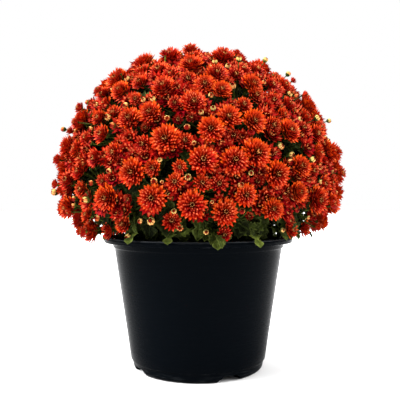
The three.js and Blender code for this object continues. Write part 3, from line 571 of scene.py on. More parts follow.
def leaf_look(plant):
    """Matte leaf: dark green to yellow-green by tone, where the dark end is painted shade on
    leaves deep in the plant and the pale end partly painted light on leaves near the rim, with
    a pale midrib, slanting side veins, a paler underside and a fine quilted bump. Stems and
    stalks take it too."""
    look = Look("leaf_skin", 0.5, 0.02)
    span = look.span
    along, side, age, tone = look.traits()
    # Dark end: painted shade on leaves deep in the plant; pale end: partly painted light on
    # leaves near the rim.
    green = look.ramp(tone, (0.0, plant.leaf_in_shade), (0.5, (0.020, 0.030, 0.0035)),
                      (1.0, plant.leaf_light))
    under = look.over(green, (0.07, 0.11, 0.03), span(tone, 0.2, 1.0, 0.0, 0.6))
    colour = look.mix(span(side, 0.55, 0.8), green, under)
    off = look.math("PINGPONG", side)
    slant = look.math("SUBTRACT", look.times(along, 7.0), look.times(off, 6.0))
    ribs = span(look.math("PINGPONG", slant), 0.0, 0.09, 1.0, 0.0)
    middle = span(off, 0.0, 0.07, 1.0, 0.0)
    veins = look.times(look.math("MAXIMUM", ribs, middle), age)
    colour = look.over(colour, (0.12, 0.17, 0.05), veins, span(tone, 0.1, 1.0, 0.08, 0.6))
    colour = look.over(colour, (0.16, 0.20, 0.05), span(side, 0.3, 0.5),
                       span(side, 0.7, 0.5), span(tone, 0.0, 0.6, 0.1, 0.6))
    mottle = look.noise(260.0, 4.0)
    colour = look.over(colour, (0.10, 0.11, 0.02), span(mottle, 0.35, 0.7, 0.0, 0.5), tone)
    colour = look.node("HueSaturation", {
        "Color": colour, "Value": span(look.noise(130.0, 3.0), 0.36, 0.64, 0.45, 1.45)})
    height = look.math("SUBTRACT", mottle, look.times(veins, 0.8))
    return look.finish(colour.outputs[0], (height, 0.8, 0.001))


def pot_look(pot):
    """Black moulded plastic: near-black with a cool cast, a fine grain, faint scuffs round the
    rim and foot, a painted highlight as a thin pale line at the rim's top edge, and a gloss
    that wanders a little."""
    look = Look("pot_skin", 0.3, 0.0088)
    span = look.span
    object_place = look.node("TexCoord").outputs["Object"]
    stretched = look.node("Mapping", {"Vector": object_place, "Scale": (1.0, 1.0, 9.0)})
    scuff = look.noise(55.0, 6.0, 0.65, stretched.outputs[0])
    height = look.node("SeparateXYZ", {"Vector": object_place}).outputs[2]
    worn = look.math("ADD", span(height, 0.166, 0.176), span(height, 0.014, 0.004),
                     clamp=True)
    marks = look.times(span(scuff, 0.55, 0.75), look.math("ADD", look.times(worn, 0.4), 0.01))
    # Painted highlight: a thin pale line at the rim's top edge, broken up by the scuff noise.
    lip = look.times(span(height, 0.1735, 0.1745), span(scuff, 0.35, 0.65, 0.25, 0.9))
    # The pale paint serves both the real scuffs and the painted highlight.
    colour = look.over(pot.colour, (0.05, 0.054, 0.058), look.math("MAXIMUM", marks, lip))
    gloss = span(scuff, 0.25, 0.75, 0.25, 0.29)
    return look.finish(colour, (look.noise(1900.0, 2.0), 0.04, 0.0002), gloss)


def soil_look():
    """Moist potting mix: dark brown peat with paler bark and a rough crumbly bump."""
    look = Look("peat", 0.95, 0.2)
    crumbs = look.noise(300.0, 8.0, 0.7)
    colour = look.ramp(crumbs, (0.3, (0.010, 0.007, 0.005)), (0.55, (0.035, 0.022, 0.013)),
                       (0.75, (0.09, 0.055, 0.03)))
    return look.finish(colour, (crumbs, 0.9, 0.003))


# ---- Blooms ----

# Rings of petals of each kind, from the outside in: how many, then base, bow and tip, each
# as radius and height in shares of the bloom's radius, the petal's width, its age from 0 at
# the rim to 1 in the eye, and how finely it is cut.
RINGS = {
    "large": [
        (18, 0.10, -0.46, 0.55, -0.32, 1.00, 0.00, 0.29, 0.00, "fine"),
        (19, 0.10, -0.42, 0.50, -0.14, 0.93, 0.20, 0.26, 0.06, "plain"),
        (18, 0.09, -0.36, 0.42, 0.02, 0.80, 0.36, 0.23, 0.16, "plain"),
        (15, 0.08, -0.30, 0.34, 0.12, 0.64, 0.46, 0.20, 0.30, "plain"),
        (11, 0.07, -0.22, 0.26, 0.16, 0.49, 0.48, 0.165, 0.48, "plain"),
        (9, 0.06, -0.16, 0.18, 0.14, 0.33, 0.42, 0.14, 0.64, "plain"),
        (7, 0.08, 0.06, 0.21, 0.28, 0.08, 0.42, 0.09, 0.90, "bare"),
    ],
    "medium": [
        (14, 0.12, -0.46, 0.54, -0.26, 1.00, 0.10, 0.31, 0.08, "plain"),
        (14, 0.11, -0.38, 0.44, -0.02, 0.88, 0.36, 0.28, 0.20, "plain"),
        (11, 0.10, -0.28, 0.32, 0.12, 0.67, 0.50, 0.22, 0.36, "plain"),
        (9, 0.09, -0.20, 0.20, 0.16, 0.45, 0.48, 0.18, 0.58, "plain"),
        (7, 0.11, 0.06, 0.28, 0.30, 0.10, 0.48, 0.125, 0.90, "bare"),
    ],
    "small": [
        (13, 0.15, -0.50, 0.52, -0.20, 0.98, 0.34, 0.32, 0.26, "plain"),
        (11, 0.14, -0.34, 0.38, 0.10, 0.76, 0.52, 0.29, 0.42, "plain"),
        (9, 0.13, -0.20, 0.36, 0.24, 0.50, 0.60, 0.24, 0.60, "plain"),
        (7, 0.15, 0.08, 0.38, 0.40, 0.15, 0.60, 0.17, 0.90, "bare"),
    ],
    "under": [
        (13, 0.12, -0.42, 0.52, -0.20, 1.00, 0.14, 0.34, 0.20, "bare"),
        (9, 0.11, -0.26, 0.36, 0.10, 0.74, 0.40, 0.34, 0.32, "bare"),
        (6, 0.12, -0.02, 0.38, 0.22, 0.20, 0.42, 0.24, 0.80, "bare"),
    ],
    "bud": [
        (8, 0.42, -0.72, 1.44, -0.10, 0.38, 0.74, 0.98, 1.00, "plain"),
        (6, 0.20, -0.30, 0.50, 0.30, 0.12, 0.66, 0.56, 0.22, "bare"),
    ],
}
# The spread of tones of each kind of bloom: full blooms are brightest, and hidden ones dullest,
# as painted shade.
TONES = {"large": (0.45, 0.95), "medium": (0.25, 0.8), "small": (0.1, 0.5),
         "under": (0.08, 0.5), "bud": (0.0, 0.9)}
PETAL_CUP = 0.34
PETAL_THICKNESS = 0.45
# A petal's stations from base to near its tip, and its half width there as a share of its
# width, for each cut.
CUTS = {
    "fine": (np.array([0.0, 0.34, 0.68, 0.88]), np.array([0.30, 0.74, 1.0, 0.62]) / 2),
    "plain": (np.array([0.0, 0.48, 0.82]), np.array([0.42, 1.0, 0.76]) / 2),
    "bare": (np.array([0.0, 0.68]), np.array([0.50, 1.06]) / 2),
}
# The calyx under a bloom and the one round a bud: height and radius in shares.
CALYX = np.array([(-0.80, 0.07), (-0.64, 0.20), (-0.46, 0.28), (-0.34, 0.16)])
BUD_CALYX = np.array([(-1.25, 0.20), (-0.98, 0.62), (-0.55, 0.95), (-0.25, 0.80)])


def gathered(blooms):
    """Centres, radii and facings of blooms as arrays."""
    return [np.array(values) for values in zip(*[bloom[1:4] for bloom in blooms])]


def add_petals(heap, blooms, draws):
    """The petals of a few blooms. A petal's middle line is a quadratic curve in the plane of
    its own radius and the bloom's axis, from base over bow to tip, and its blade stands
    across that line. Angle, reach, lift, width and roll each get a small drawn change."""
    for cut, (stations, widths) in CUTS.items():
        rows = [np.zeros((0, 10))]
        for number, bloom in enumerate(blooms):
            for turn, (many, *shape, kind) in enumerate(RINGS[bloom.kind.name]):
                if kind == cut:
                    angles = (np.arange(many) + 0.5 * (turn % 2)) * 2 * math.pi / many
                    rows.append(np.column_stack([
                        angles + bloom.spin + 0.3 * turn, np.full(many, number),
                        np.tile(shape, (many, 1))]))
        rows = np.concatenate(rows)
        if len(rows):
            add_petal_rows(heap, blooms, rows, draws, stations, widths)


def add_petal_rows(heap, blooms, rows, draws, stations, widths):
    """Petals from rows of angle, bloom number, base, bow, tip, width and age. Painted light
    raises the tone of blooms that face up, of open ones that face a side and of petals that
    point up, so that they are brighter."""
    many = len(rows)
    owner = rows[:, 1].astype(int)
    centre, radius, axis = (values[owner] for values in gathered(blooms))
    frames = np.array([across(b.facing) for b in blooms])[owner]
    # Tone of each bloom: a drawn tone of its kind, with painted light added for blooms that
    # face up and open ones that face a side, and lowered for buds that face a side.
    bloom_tone_and_light = np.array([draws.uniform(*TONES[b.kind.name]) - 0.06
                           + (-0.25 if b.kind.name == "bud" else 0.35) * abs(b.facing[0])
                           + 0.15 * max(b.facing[2], 0)
                           for b in blooms])[owner]
    angle = rows[:, 0] + draws.normal(0, 0.08, many)
    outward = (np.cos(angle)[:, None] * frames[:, 0] + np.sin(angle)[:, None] * frames[:, 1])
    side = np.cross(axis, outward)
    base, mid, end = (rows[:, None, i:i + 2].copy() for i in (2, 4, 6))
    longest = draws.uniform(0, 2 * math.pi, len(blooms))[owner]
    end[:, 0, 0] *= draws.normal(1, 0.045, many) * (1 + 0.05 * np.cos(angle - longest))
    end[:, 0, 1] += draws.normal(0, 0.06, many)
    mid[:, 0, 1] += draws.normal(0, 0.03, many)
    t = np.append(stations, 1.0)[None, :, None]
    curve = (1 - t) ** 2 * base + 2 * t * (1 - t) * mid + t ** 2 * end
    slope = 2 * (1 - t) * (mid - base) + 2 * t * (end - mid)
    spread = radius[:, None, None]
    line = (centre[:, None] + spread * (curve[..., :1] * outward[:, None]
                                        + curve[..., 1:] * axis[:, None]))
    ahead = unit(slope[..., :1] * outward[:, None] + slope[..., 1:] * axis[:, None])
    roll = (draws.normal(0, 0.24, many) * (rows[:, 9] < 1))[:, None, None]
    flat = np.broadcast_to(side[:, None], ahead.shape)
    top = np.cross(ahead, flat)
    flat, top = (flat * np.cos(roll) + top * np.sin(roll),
                 top * np.cos(roll) - flat * np.sin(roll))
    half = (rows[:, 8] * radius * draws.normal(1, 0.07, many))[:, None] * widths
    # Painted light: petals that point up get a higher tone.
    tone = np.clip(bloom_tone_and_light + 0.22 * outward[:, 2] + draws.normal(0, 0.12, many), 0, 1)
    add_blades(heap, line, flat, top, half, 0 * half, PETAL_CUP, PETAL_THICKNESS,
               np.linspace(0, 0.9, len(stations)), rows[:, 9], tone)


def spray_piece(plan, number, looks):
    """A spray: the petals, calyces and stalks of the blooms that its hub carries."""
    draws = np.random.default_rng(SPRAY_SEED + number)
    blooms = [bloom for bloom in plan.blooms if bloom.spray == number]
    heap = Heap()
    add_petals(heap, blooms, draws)
    add_stalks(heap, blooms, plan.hubs[number], plan.spray_ways[number], draws)
    piece = heap.piece(f"bloom_spray_{number + 1:02d}_looks", looks)
    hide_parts(f"bloom_spray_{number + 1:02d}")
    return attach(piece, "root")


def add_stalks(heap, blooms, hub, way, draws):
    """A calyx under each bloom and a bowed stalk from the spray's hub to it."""
    centre, radius, axis = gathered(blooms)
    tone = draws.uniform(0.05, 0.7, len(blooms))
    is_bud = np.array([bloom.kind.name == "bud" for bloom in blooms])
    for chosen, profile, thick in ((~is_bud, CALYX, 1.0), (is_bud, BUD_CALYX, 0.75)):
        if chosen.any():
            facing = axis[chosen]
            path = (centre[chosen, None] + facing[:, None]
                    * (profile[:, 0] * radius[chosen, None])[..., None])
            add_tubes(heap, 1, path, profile[:, 1] * radius[chosen, None], tone[chosen])
            foot = path[:, 0]
            reach = np.linalg.norm(foot - hub, axis=1, keepdims=True)
            add_bows(heap, 1, (hub, hub + way * reach * 0.35, foot - facing * reach * 0.35,
                               foot + facing * 0.6),
                     5, (1.05 * thick, 0.8 * thick), tone[chosen], 4)


# ---- Leaves and stems ----

STEM_LIFT = 22
SKIRT_TURN = 0.35
COLLAR_Z = 167
TWIG_LEAVES = 6
TWIG_REACH = 150
TWIG_END_Z = 185
LEAF_CUP = 0.28
LEAF_THICKNESS = 0.7
# A lobed leaf by stations: along, half width, and how far the edge is swept on, in lengths.
LEAF = np.array([
    (0.00, 0.025, 0.00), (0.08, 0.05, 0.02), (0.17, 0.25, 0.02), (0.27, 0.33, 0.07),
    (0.34, 0.17, 0.03), (0.44, 0.28, 0.02), (0.55, 0.38, 0.08), (0.65, 0.19, 0.03),
    (0.74, 0.24, 0.03), (0.84, 0.23, 0.07), (0.92, 0.12, 0.03),
])
# An old broad leaf with shallow lobes, for the heart of the plant.
OLD_LEAF = np.array([
    (0.00, 0.03, 0.00), (0.16, 0.24, 0.00), (0.34, 0.42, 0.08), (0.48, 0.20, 0.02),
    (0.66, 0.42, 0.08), (0.84, 0.22, 0.05),
])
# A leaf with round lobes, for the leaves that show whole.
RIM_LEAF = np.array([
    (0.00, 0.02, 0.00), (0.12, 0.03, 0.00), (0.20, 0.10, 0.00), (0.26, 0.22, -0.02),
    (0.32, 0.31, 0.00), (0.37, 0.32, 0.05), (0.42, 0.22, 0.07), (0.47, 0.11, 0.03),
    (0.53, 0.27, -0.02), (0.59, 0.38, 0.01), (0.65, 0.37, 0.07), (0.70, 0.24, 0.09),
    (0.74, 0.11, 0.04), (0.80, 0.20, 0.00), (0.86, 0.25, 0.00), (0.92, 0.23, 0.02),
    (0.96, 0.16, 0.03), (0.985, 0.08, 0.03),
])


def add_leaves(heap, base, way, normal, length, tone, draws, lobes=LEAF, droops=(0.12, 0.4)):
    """Lobed leaves, all at once: the middle line runs from the base along the way and droops
    by a share of the squared distance; half widths and sweeps follow the lobes' table."""
    many = len(base)
    side = unit(np.cross(way, normal))
    up = np.cross(side, way)
    droop = draws.uniform(*droops, many)[:, None]
    along = np.append(lobes[:, 0], 1.0)[None]
    sag = -droop * along ** 2
    bend = draws.normal(0, 0.06, many)[:, None] * along ** 2
    line = base[:, None] + length[:, None, None] * (
        along[..., None] * way[:, None] + sag[..., None] * up[:, None]
        + bend[..., None] * side[:, None])
    slope = unit(way[:, None] - (2 * droop * along)[..., None] * up[:, None])
    flat = np.broadcast_to(side[:, None], slope.shape)
    half = lobes[:, 1] * length[:, None] * draws.uniform(0.85, 1.1, many)[:, None]
    add_blades(heap, line, -flat, np.cross(flat, slope), half, lobes[:, 2] * length[:, None],
               LEAF_CUP, LEAF_THICKNESS, lobes[:, 0], np.ones(many), tone)


def stem_piece(plan, number, look, plant):
    """A leafy stem: the main stem out of the soil, bowed branches to the spray hubs, leaves
    round each branch end in three shells under the blooms, old leaves in the heart, and
    leaves, young shoots and twigs at the rim."""
    draws = np.random.default_rng(STEM_SEED + number)
    heap = Heap()
    fork = CROWN + plan.stem_ways[number] * FORK_DISTANCE
    foot = fork * [STEM_SPREAD, STEM_SPREAD, 0] + (SOIL_Z - STEM_DEPTH) * UP
    lift = STEM_LIFT * UP
    main = add_bows(heap, 0, (foot, foot + lift, fork - 0.4 * lift, fork), 8, (4.2, 3.2),
                    0.35, 10)
    own = np.flatnonzero(np.argmax(plan.spray_ways @ plan.stem_ways.T, axis=1) == number)
    hubs, ways = plan.hubs[own], plan.spray_ways[own]
    if len(hubs):
        add_bows(heap, 0, (fork, fork + (hubs - fork) * 0.35, hubs - ways * 14, hubs), 7,
                 (2.4, 1.7), draws.uniform(0.3, 0.5, len(hubs)), 7)
        # Shells from deep to upper: the deeper the shell, the lower its tone, as painted shade.
        for many, depths, angles, lengths, tone, lobes in (
                (plant.deep_leaves, (48, 74), (0.02, 0.38), (42, 54), 0.0, OLD_LEAF),
                (plant.shell_leaves, (30, 44), (0.06, 0.30), (26, 34), 0.05, LEAF),
                (plant.upper_leaves, (14, 28), (0.04, 0.26), (16, 22), 0.12, LEAF)):
            add_shell(heap, plan, own, many, depths, angles, lengths, tone, lobes, draws)
    add_heart(heap, main[0], plant.heart_leaves, draws)
    turn = np.arange(SKIRT_LEAVES)
    out = around(2 * math.pi * (turn + SKIRT_TURN) / SKIRT_LEAVES)
    is_own = np.argmax(out @ plan.stem_ways.T, axis=1) == number
    if is_own.any():
        add_skirt(heap, fork, out[is_own], draws)
        add_collar(heap, out[is_own], draws)
        add_twigs(heap, fork, out[is_own & (turn % 4 == 0)], draws)
    piece = heap.piece(f"leafy_stem_{number + 1}_looks", [look])
    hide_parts(f"leafy_stem_{number + 1}")
    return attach(piece, "root")


def add_shell(heap, plan, sprays, many, depths, angles, lengths, tone, lobes, draws):
    """Leaves round the branch ends, in one shell under the dome. Each lies off the spray's
    own way by a drawn angle, at a drawn depth, points away from the branch and faces out.
    Low ones are shorter, and paler as painted light. A bowed leaf stalk joins each to the hub."""
    own = np.repeat(sprays, many)
    way, hub = plan.spray_ways[own], plan.hubs[own]
    frames = np.array([across(w) for w in plan.spray_ways])[own]
    turn = np.tile(np.arange(many), len(sprays)) * 2 * math.pi / many
    turn += draws.normal(0, 0.3, len(own))
    turn += np.repeat(draws.uniform(0, 6.3, len(sprays)), many)
    off = draws.uniform(*angles, len(own))[:, None]
    out = np.cos(turn)[:, None] * frames[:, 0] + np.sin(turn)[:, None] * frames[:, 1]
    facing = way * np.cos(off) + out * np.sin(off)
    depth = draws.uniform(*depths, len(own))[:, None]
    base = np.array([dome_point(CROWN, w) for w in facing]) - facing * depth
    ahead = unit(out - facing * np.sum(out * facing, axis=1, keepdims=True) + 0.22 * facing)
    normal = unit(facing + draws.normal(0, 0.22, facing.shape))
    low = np.clip((235 - base[:, 2]) / 50, 0, 1)
    length = draws.uniform(*lengths, len(own)) * (1 - 0.6 * low)
    # Painted light: low leaves near the rim get a higher tone.
    shade = np.clip(tone + 0.1 * low + draws.normal(0, 0.12, len(own)), 0, 1)
    add_bows(heap, 0, (hub, hub + way * 6, base - ahead * 8, base + ahead * 0.5), 5,
             (0.9, 0.6), shade, 4)
    add_leaves(heap, base, ahead, normal, length, shade, draws, lobes)


def on_line(line, shares):
    """Points at shares of a line of even stations."""
    even = np.linspace(0, 1, len(line))
    return np.column_stack([np.interp(shares, even, column) for column in line.T])


def add_heart(heap, main, many, draws):
    """Old leaves in the heart of the plant: each starts on the main stem's line, a golden
    angle on from the last and a little higher, points up and out, and stands on edge."""
    base = on_line(main, np.linspace(0.3, 1.0, many))
    out = around(np.arange(many) * GOLDEN_ANGLE + draws.uniform(0, 6.3))
    ahead = unit(out + UP * draws.uniform(0.3, 0.7, many)[:, None])
    normal = unit(quarter_turned(out) + draws.normal(0, 0.35, out.shape))
    # A low tone: painted shade on the leaves in the heart.
    add_leaves(heap, base, ahead, normal, draws.uniform(44, 56, many),
               np.clip(draws.normal(0.05, 0.1, many), 0, 1), draws, OLD_LEAF)


def add_collar(heap, out, draws):
    """Young shoots out of the soil inside the rim, between the leaves over the rim: each
    is a bowed stalk with one leaf that stands up and leans out."""
    for shift, reach, foot in ((0.1, 104, 84), (0.2, 92, 72), (0.0, 80, 60), (-0.2, 66, 50)):
        ways = unit(out + shift * quarter_turned(out))
        base = ways * reach + COLLAR_Z * UP + draws.normal(0, 1.5, out.shape)
        ahead = unit(ways * 0.35 + UP + draws.normal(0, 0.12, out.shape))
        normal = unit(ways + draws.normal(0, 0.7, out.shape))
        # Low tones: painted shade on the shoots under the dome.
        shade = draws.uniform(0.0, 0.15, len(out))
        start = ways * foot + SOIL_Z * UP
        add_bows(heap, 0, (start, start + 5.0 * UP, base - ahead * 3, base + ahead * 0.5), 4,
                 (1.2, 0.8), shade, 5)
        add_leaves(heap, base, ahead, normal, draws.uniform(18, 27, len(out)), shade, draws)


def add_skirt(heap, fork, out, draws):
    """Leaves over the rim: long ones that hang over it where the solids have them, each on a
    bowed stalk from the fork, and between and over them small ones that face out."""
    turned = quarter_turned(out)
    # Rows of shift, reach, height, size, droops and tones: the hanging row has the highest
    # tones and the others lower ones, partly as painted light and shade.
    for shift, reach, height, size, droops, shades in (
            (0.0, 111, 189, 30, (0.5, 0.7), (0.35, 0.95)),
            (0.15, 106, 192, 17, (0.1, 0.3), (0.2, 0.9)),
            (-0.14, 104, 190, 16, (0.1, 0.3), (0.0, 0.6)),
            (0.07, 108, 199, 15, (0.2, 0.6), (0.0, 0.6)),
            (-0.07, 104, 204, 16, (0.2, 0.6), (0.0, 0.4)),
            (0.19, 104, 206, 15, (0.2, 0.6), (0.0, 0.5))):
        ways = unit(out + shift * turned)
        base = ways * reach + height * UP + draws.normal(0, 2.0, out.shape)
        ahead, normal = ways - 0.1 * UP, UP
        if shift:
            ahead = 0.5 * ways + draws.uniform(-1, 1, len(out))[:, None] * turned - 0.5 * UP
            normal = ways + 0.6 * UP
        ahead = unit(ahead + draws.normal(0, 0.08, out.shape))
        shade = draws.uniform(*shades, len(out))
        add_bows(heap, 0, (fork, fork + ways * 20, base - ahead * 15, base + ahead * 0.5), 6,
                 (1.2, 0.7), 0.5 * shade, 4)
        length = size * draws.uniform(0.85, 1.05, len(out))
        add_leaves(heap, base, ahead, normal, length, shade, draws, RIM_LEAF, droops)


def add_twigs(heap, fork, ways, draws):
    """Thin side shoots over the rim at every fourth of its leaves: a bowed twig from the fork
    with small leaves that spread by turns to either side of it and hang a little."""
    many = TWIG_LEAVES
    for way in ways:
        end = way * TWIG_REACH + TWIG_END_Z * UP
        line = add_bows(heap, 0, (fork, fork + way * 25, end - way * 35 + UP * 5, end), 9,
                        (1.2, 0.7), 0.5, 5)
        base = on_line(line[0], np.linspace(0.68, 1.0, many))
        off = np.where(np.arange(many) % 2, 1.0, -1.0) * np.linspace(1.0, 0.3, many)
        ahead = unit(0.6 * way + off[:, None] * quarter_turned(way) - 0.45 * UP
                     + draws.normal(0, 0.12, (many, 3)))
        add_leaves(heap, base, ahead, unit(0.5 * way + UP + draws.normal(0, 0.2, (many, 3))),
                   draws.uniform(15, 21, many), draws.uniform(0.25, 0.7, many), draws)


# ---- Pot and soil ----

# Half of a drain arch in the foot: distance from its middle, and height.
DRAIN_ARCH = np.array([(0, 7.2), (9, 7.2), (13, 5.4), (15.2, 2.6), (16.4, 0)])
DRAINS = 4
DRAIN_PHASE = math.radians(28)
DRAIN_HOLE_OUT = 76
DRAIN_HOLE_RADIUS = 4.5
RIM_WIDTH = 13.8
WALL = 1.8
FLOOR = 2.5
POT_SIDES = 192
SOIL_SIDES = 112
SOIL_RADIUS = 110.4
SOIL_MOUND = 3
CRUMBS = 500


def arch_height(angles, pot):
    """Height of the drain arches round the foot: the arch's table over the distance from
    the nearest drain's middle, measured along the foot's edge."""
    apart = 2 * math.pi / DRAINS
    off = (angles - DRAIN_PHASE + apart / 2) % apart - apart / 2
    return np.interp(np.abs(np.sin(off)) * pot.foot_radius / MM, DRAIN_ARCH[:, 0],
                     DRAIN_ARCH[:, 1])


def pot_piece(pot, look):
    """The pan: a profile of radius and height swept round Z as one closed skin: the foot, the
    ledge over it, the wall, the neck's step, the rim, and back down the inside. Round the
    foot the skin rises over drain arches, and a hole is cut through the roof of each."""
    rim, foot, top = (value / MM for value in (pot.rim_radius, pot.foot_radius, pot.height))
    neck = rim - RIM_WIDTH
    ledge = [(foot + out, z) for out, z in (
        (-4.6, 0), (-3.0, 0.3), (-1.4, 1.6), (-0.4, 3.2), (0, 5.0), (0.8, 8.6), (1.5, 12.1),
        (1.9, 12.6), (2.9, 13.0), (3.25, 13.6))]
    start, end = np.array(ledge[-1]), np.array((neck, top - 14.8))
    wall = [start + (end - start) * share for share in (0.1, 0.25, 0.4, 0.55, 0.7, 0.85, 0.95)]
    step = [(neck + out, top - down) for out, down in (
        (-0.1, 15.0), (0.3, 14.4), (1.5, 13.5), (2.0, 12.8), (2.3, 8.6), (3.0, 7.3),
        (4.2, 7.0))]
    lip = [(rim - back, top - down) for back, down in (
        (1.4, 7.0), (0.4, 6.6), (0, 5.6), (0, 1.6), (0.4, 0.5), (1.4, 0))]
    inside = [(neck + out, top - down) for out, down in (
        (2.2, 0), (1.0, 0.5), (0.6, 1.8), (-1.8, 14.5))]
    inner_foot = [(foot + out, z) for out, z in (
        (1.3, 12.5), (-2.5, 9.0), (-2.9, 3.2), (-3.6, FLOOR))]
    profile = np.array([
        (0, 0), (67, 0), (68, 0), (69.5, 0), *ledge, *wall, *step, *lip, *inside,
        *inner_foot, (66.2, FLOOR), (65.2, FLOOR), (0, FLOOR)])
    angles = np.linspace(0, 2 * math.pi, POT_SIDES, endpoint=False)
    arch = arch_height(angles, pot)
    roof = np.where(arch > 0, arch + WALL, 0)
    height = np.repeat(profile[:, 1:], POT_SIDES, 1)
    for rows, least in ((slice(3, 10), arch), (slice(-6, -2), roof)):
        height[rows] = np.maximum(height[rows], least)
    heap = Heap()
    add_turned(heap, profile[:, :1, None] * around(angles) + height[..., None] * UP)
    piece = heap.piece("pot_looks", [look], 35.0)
    drill = drill_piece()
    cut = piece.modifiers.new("drains", "BOOLEAN")
    cut.object = drill
    cut.solver = "EXACT"
    bpy.context.view_layer.update()
    cut_mesh = bpy.data.meshes.new_from_object(
        piece.evaluated_get(bpy.context.evaluated_depsgraph_get()))
    piece.modifiers.clear()
    piece.data = cut_mesh
    bpy.data.objects.remove(drill)
    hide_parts("pot")
    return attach(piece, "root")


def add_turned(heap, rings):
    """A closed skin from rings round Z, of which the first and last ones meet the axis."""
    add_skins(heap, 0, rings[None, 1:-1], rings[[0, -1]].mean(1)[None], 0.0)


def drill_piece():
    """Upright round bars where the drain holes are."""
    spots = DRAIN_HOLE_OUT * around(DRAIN_PHASE + np.arange(DRAINS) * 2 * math.pi / DRAINS)
    heap = Heap()
    add_tubes(heap, 0, np.stack([spots + 4 * UP, spots + 12 * UP], axis=1),
              DRAIN_HOLE_RADIUS, 0.0, 24)
    return heap.piece("drill", [])


def soil_piece(look, draws):
    """The potting mix: a profile turned round Z as one closed skin, whose top is mounded by
    one less the squared share of the radius and roughened by a few waves, and loose angular
    crumbs of bark that lie on it."""
    top = np.linspace(SOIL_RADIUS, 4, 30)
    mound = SOIL_Z + SOIL_MOUND * (1 - (top / SOIL_RADIUS) ** 2)
    profile = np.array([(0, 9.4), (84.8, 9.4), (88.4, 13.2), (SOIL_RADIUS - 0.2, 156.5),
                        *zip(top, mound), (0, SOIL_Z + SOIL_MOUND)])
    angles = np.linspace(0, 2 * math.pi, SOIL_SIDES, endpoint=False)
    rings = profile[:, :1, None] * around(angles) + profile[:, 1:, None] * UP
    surface = rings[4:-1]
    waves = draws.uniform(-0.9, 0.9, (14, 3))
    rough = np.abs(np.sin(surface[..., :2] @ waves[:, :2].T + 9 * waves[:, 2])).mean(-1)
    surface[..., 2] += 9 * (rough - 0.64)
    heap = Heap()
    add_turned(heap, rings)
    reach = 107 * np.sqrt(draws.uniform(0, 1, CRUMBS))
    level = SOIL_Z + 0.6 + SOIL_MOUND * (1 - (reach / 110) ** 2)
    spot = reach[:, None] * around(draws.uniform(0, 6.3, CRUMBS)) + level[:, None] * UP
    corners = np.array([(1, 0, 0), (0, 1, 0), (-1, 0, 0), (0, -1, 0), (0, 0, 1), (0, 0, -1)])
    size = draws.uniform(0.9, 2.6, (CRUMBS, 1, 1)) * draws.uniform(0.6, 1.3, (CRUMBS, 6, 1))
    faces = np.concatenate([fan(0, 4, 4), fan(0, 4, 5)[:, [1, 0, 2]]])
    heap.add(spot[:, None] + corners * size * [1.2, 0.9, 0.6], np.zeros((CRUMBS, 6, 4)),
             np.zeros((0, 4), int), faces, 0)
    piece = heap.piece("soil_looks", [look], 40.0)
    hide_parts("soil")
    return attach(piece, "root")


# ---- Stage ----

FLOOR_GAP = 0.0005
SENSOR_WIDTH = 36.0


def lay_floor(width):
    """One flat square of floor, a hair under the pot's foot."""
    half = width / 2
    mesh = bpy.data.meshes.new("floor")
    mesh.from_pydata([(x * half, y * half, -FLOOR_GAP)
                      for x, y in ((-1, -1), (1, -1), (1, 1), (-1, 1))], [], [(0, 1, 2, 3)])
    look = Look("pale_floor", 0.9, 0.0)
    speck = look.span(look.noise(3.0, 2.0), 0.3, 0.7, 0.0, 0.3)
    mesh.materials.append(look.finish(
        look.over((0.60, 0.60, 0.60), (0.58, 0.58, 0.58), speck)))
    floor = bpy.data.objects.new("floor", mesh)
    bpy.context.scene.collection.objects.link(floor)


def light_studio(scene):
    """A surround that is white to the camera, dark to mirror rays and soft to the rest, and
    four wide suns."""
    world = bpy.data.worlds.new("studio")
    scene.world = world
    world.use_nodes = True
    tree = world.node_tree
    glow = tree.nodes["Background"]
    glow.inputs["Color"].default_value = (1, 1, 1, 1)
    glow.inputs["Strength"].default_value = 0.75
    rays = tree.nodes.new("ShaderNodeLightPath")
    for ray, strength in (("Is Glossy Ray", 0.05), ("Is Camera Ray", 1.0)):
        other = tree.nodes.new("ShaderNodeBackground")
        other.inputs["Color"].default_value = (1, 1, 1, 1)
        other.inputs["Strength"].default_value = strength
        both = tree.nodes.new("ShaderNodeMixShader")
        tree.links.new(rays.outputs[ray], both.inputs["Fac"])
        tree.links.new(glow.outputs[0], both.inputs[1])
        tree.links.new(other.outputs[0], both.inputs[2])
        glow = both
    tree.links.new(glow.outputs[0], tree.nodes["World Output"].inputs["Surface"])
    for name, spot, angle, power in (
            ("key_light", (-0.4, -0.45, 1.0), 24, 3.6),
            ("left_light", (-1.0, -0.15, 0.6), 40, 8.8),
            ("right_light", (1.0, -0.1, 0.6), 40, 5.7),
            ("back_light", (0.0, 0.3, 1.0), 60, 5.0)):
        lamp = bpy.data.lights.new(name, "SUN")
        lamp.angle = math.radians(angle)
        lamp.energy = power
        sun = bpy.data.objects.new(name, lamp)
        sun.location = spot
        sun.rotation_euler = (-Vector(spot)).to_track_quat("-Z", "Y").to_euler()
        scene.collection.objects.link(sun)
    scene.view_settings.view_transform = "Standard"


def set_camera(scene, studio):
    """A level camera in front of the pot, with its frame shifted a little up and right."""
    lens = bpy.data.cameras.new("front_camera")
    lens.sensor_width = SENSOR_WIDTH
    lens.lens = SENSOR_WIDTH * FIELD_SCALE / FIELD_SIZE
    lens.shift_x = 0.5 - FIELD_ACROSS / FIELD_SIZE
    lens.shift_y = FIELD_DOWN / FIELD_SIZE - 0.5
    camera = bpy.data.objects.new("front_camera", lens)
    camera.location = (0, -studio.eye_distance, studio.eye_height)
    camera.rotation_euler = (math.pi / 2, 0, 0)
    scene.collection.objects.link(camera)
    scene.camera = camera


# ---- Settings ----

# What every colour setting has.
COLOUR = {"subtype": "COLOR", "size": 3, "min": 0, "max": 1}


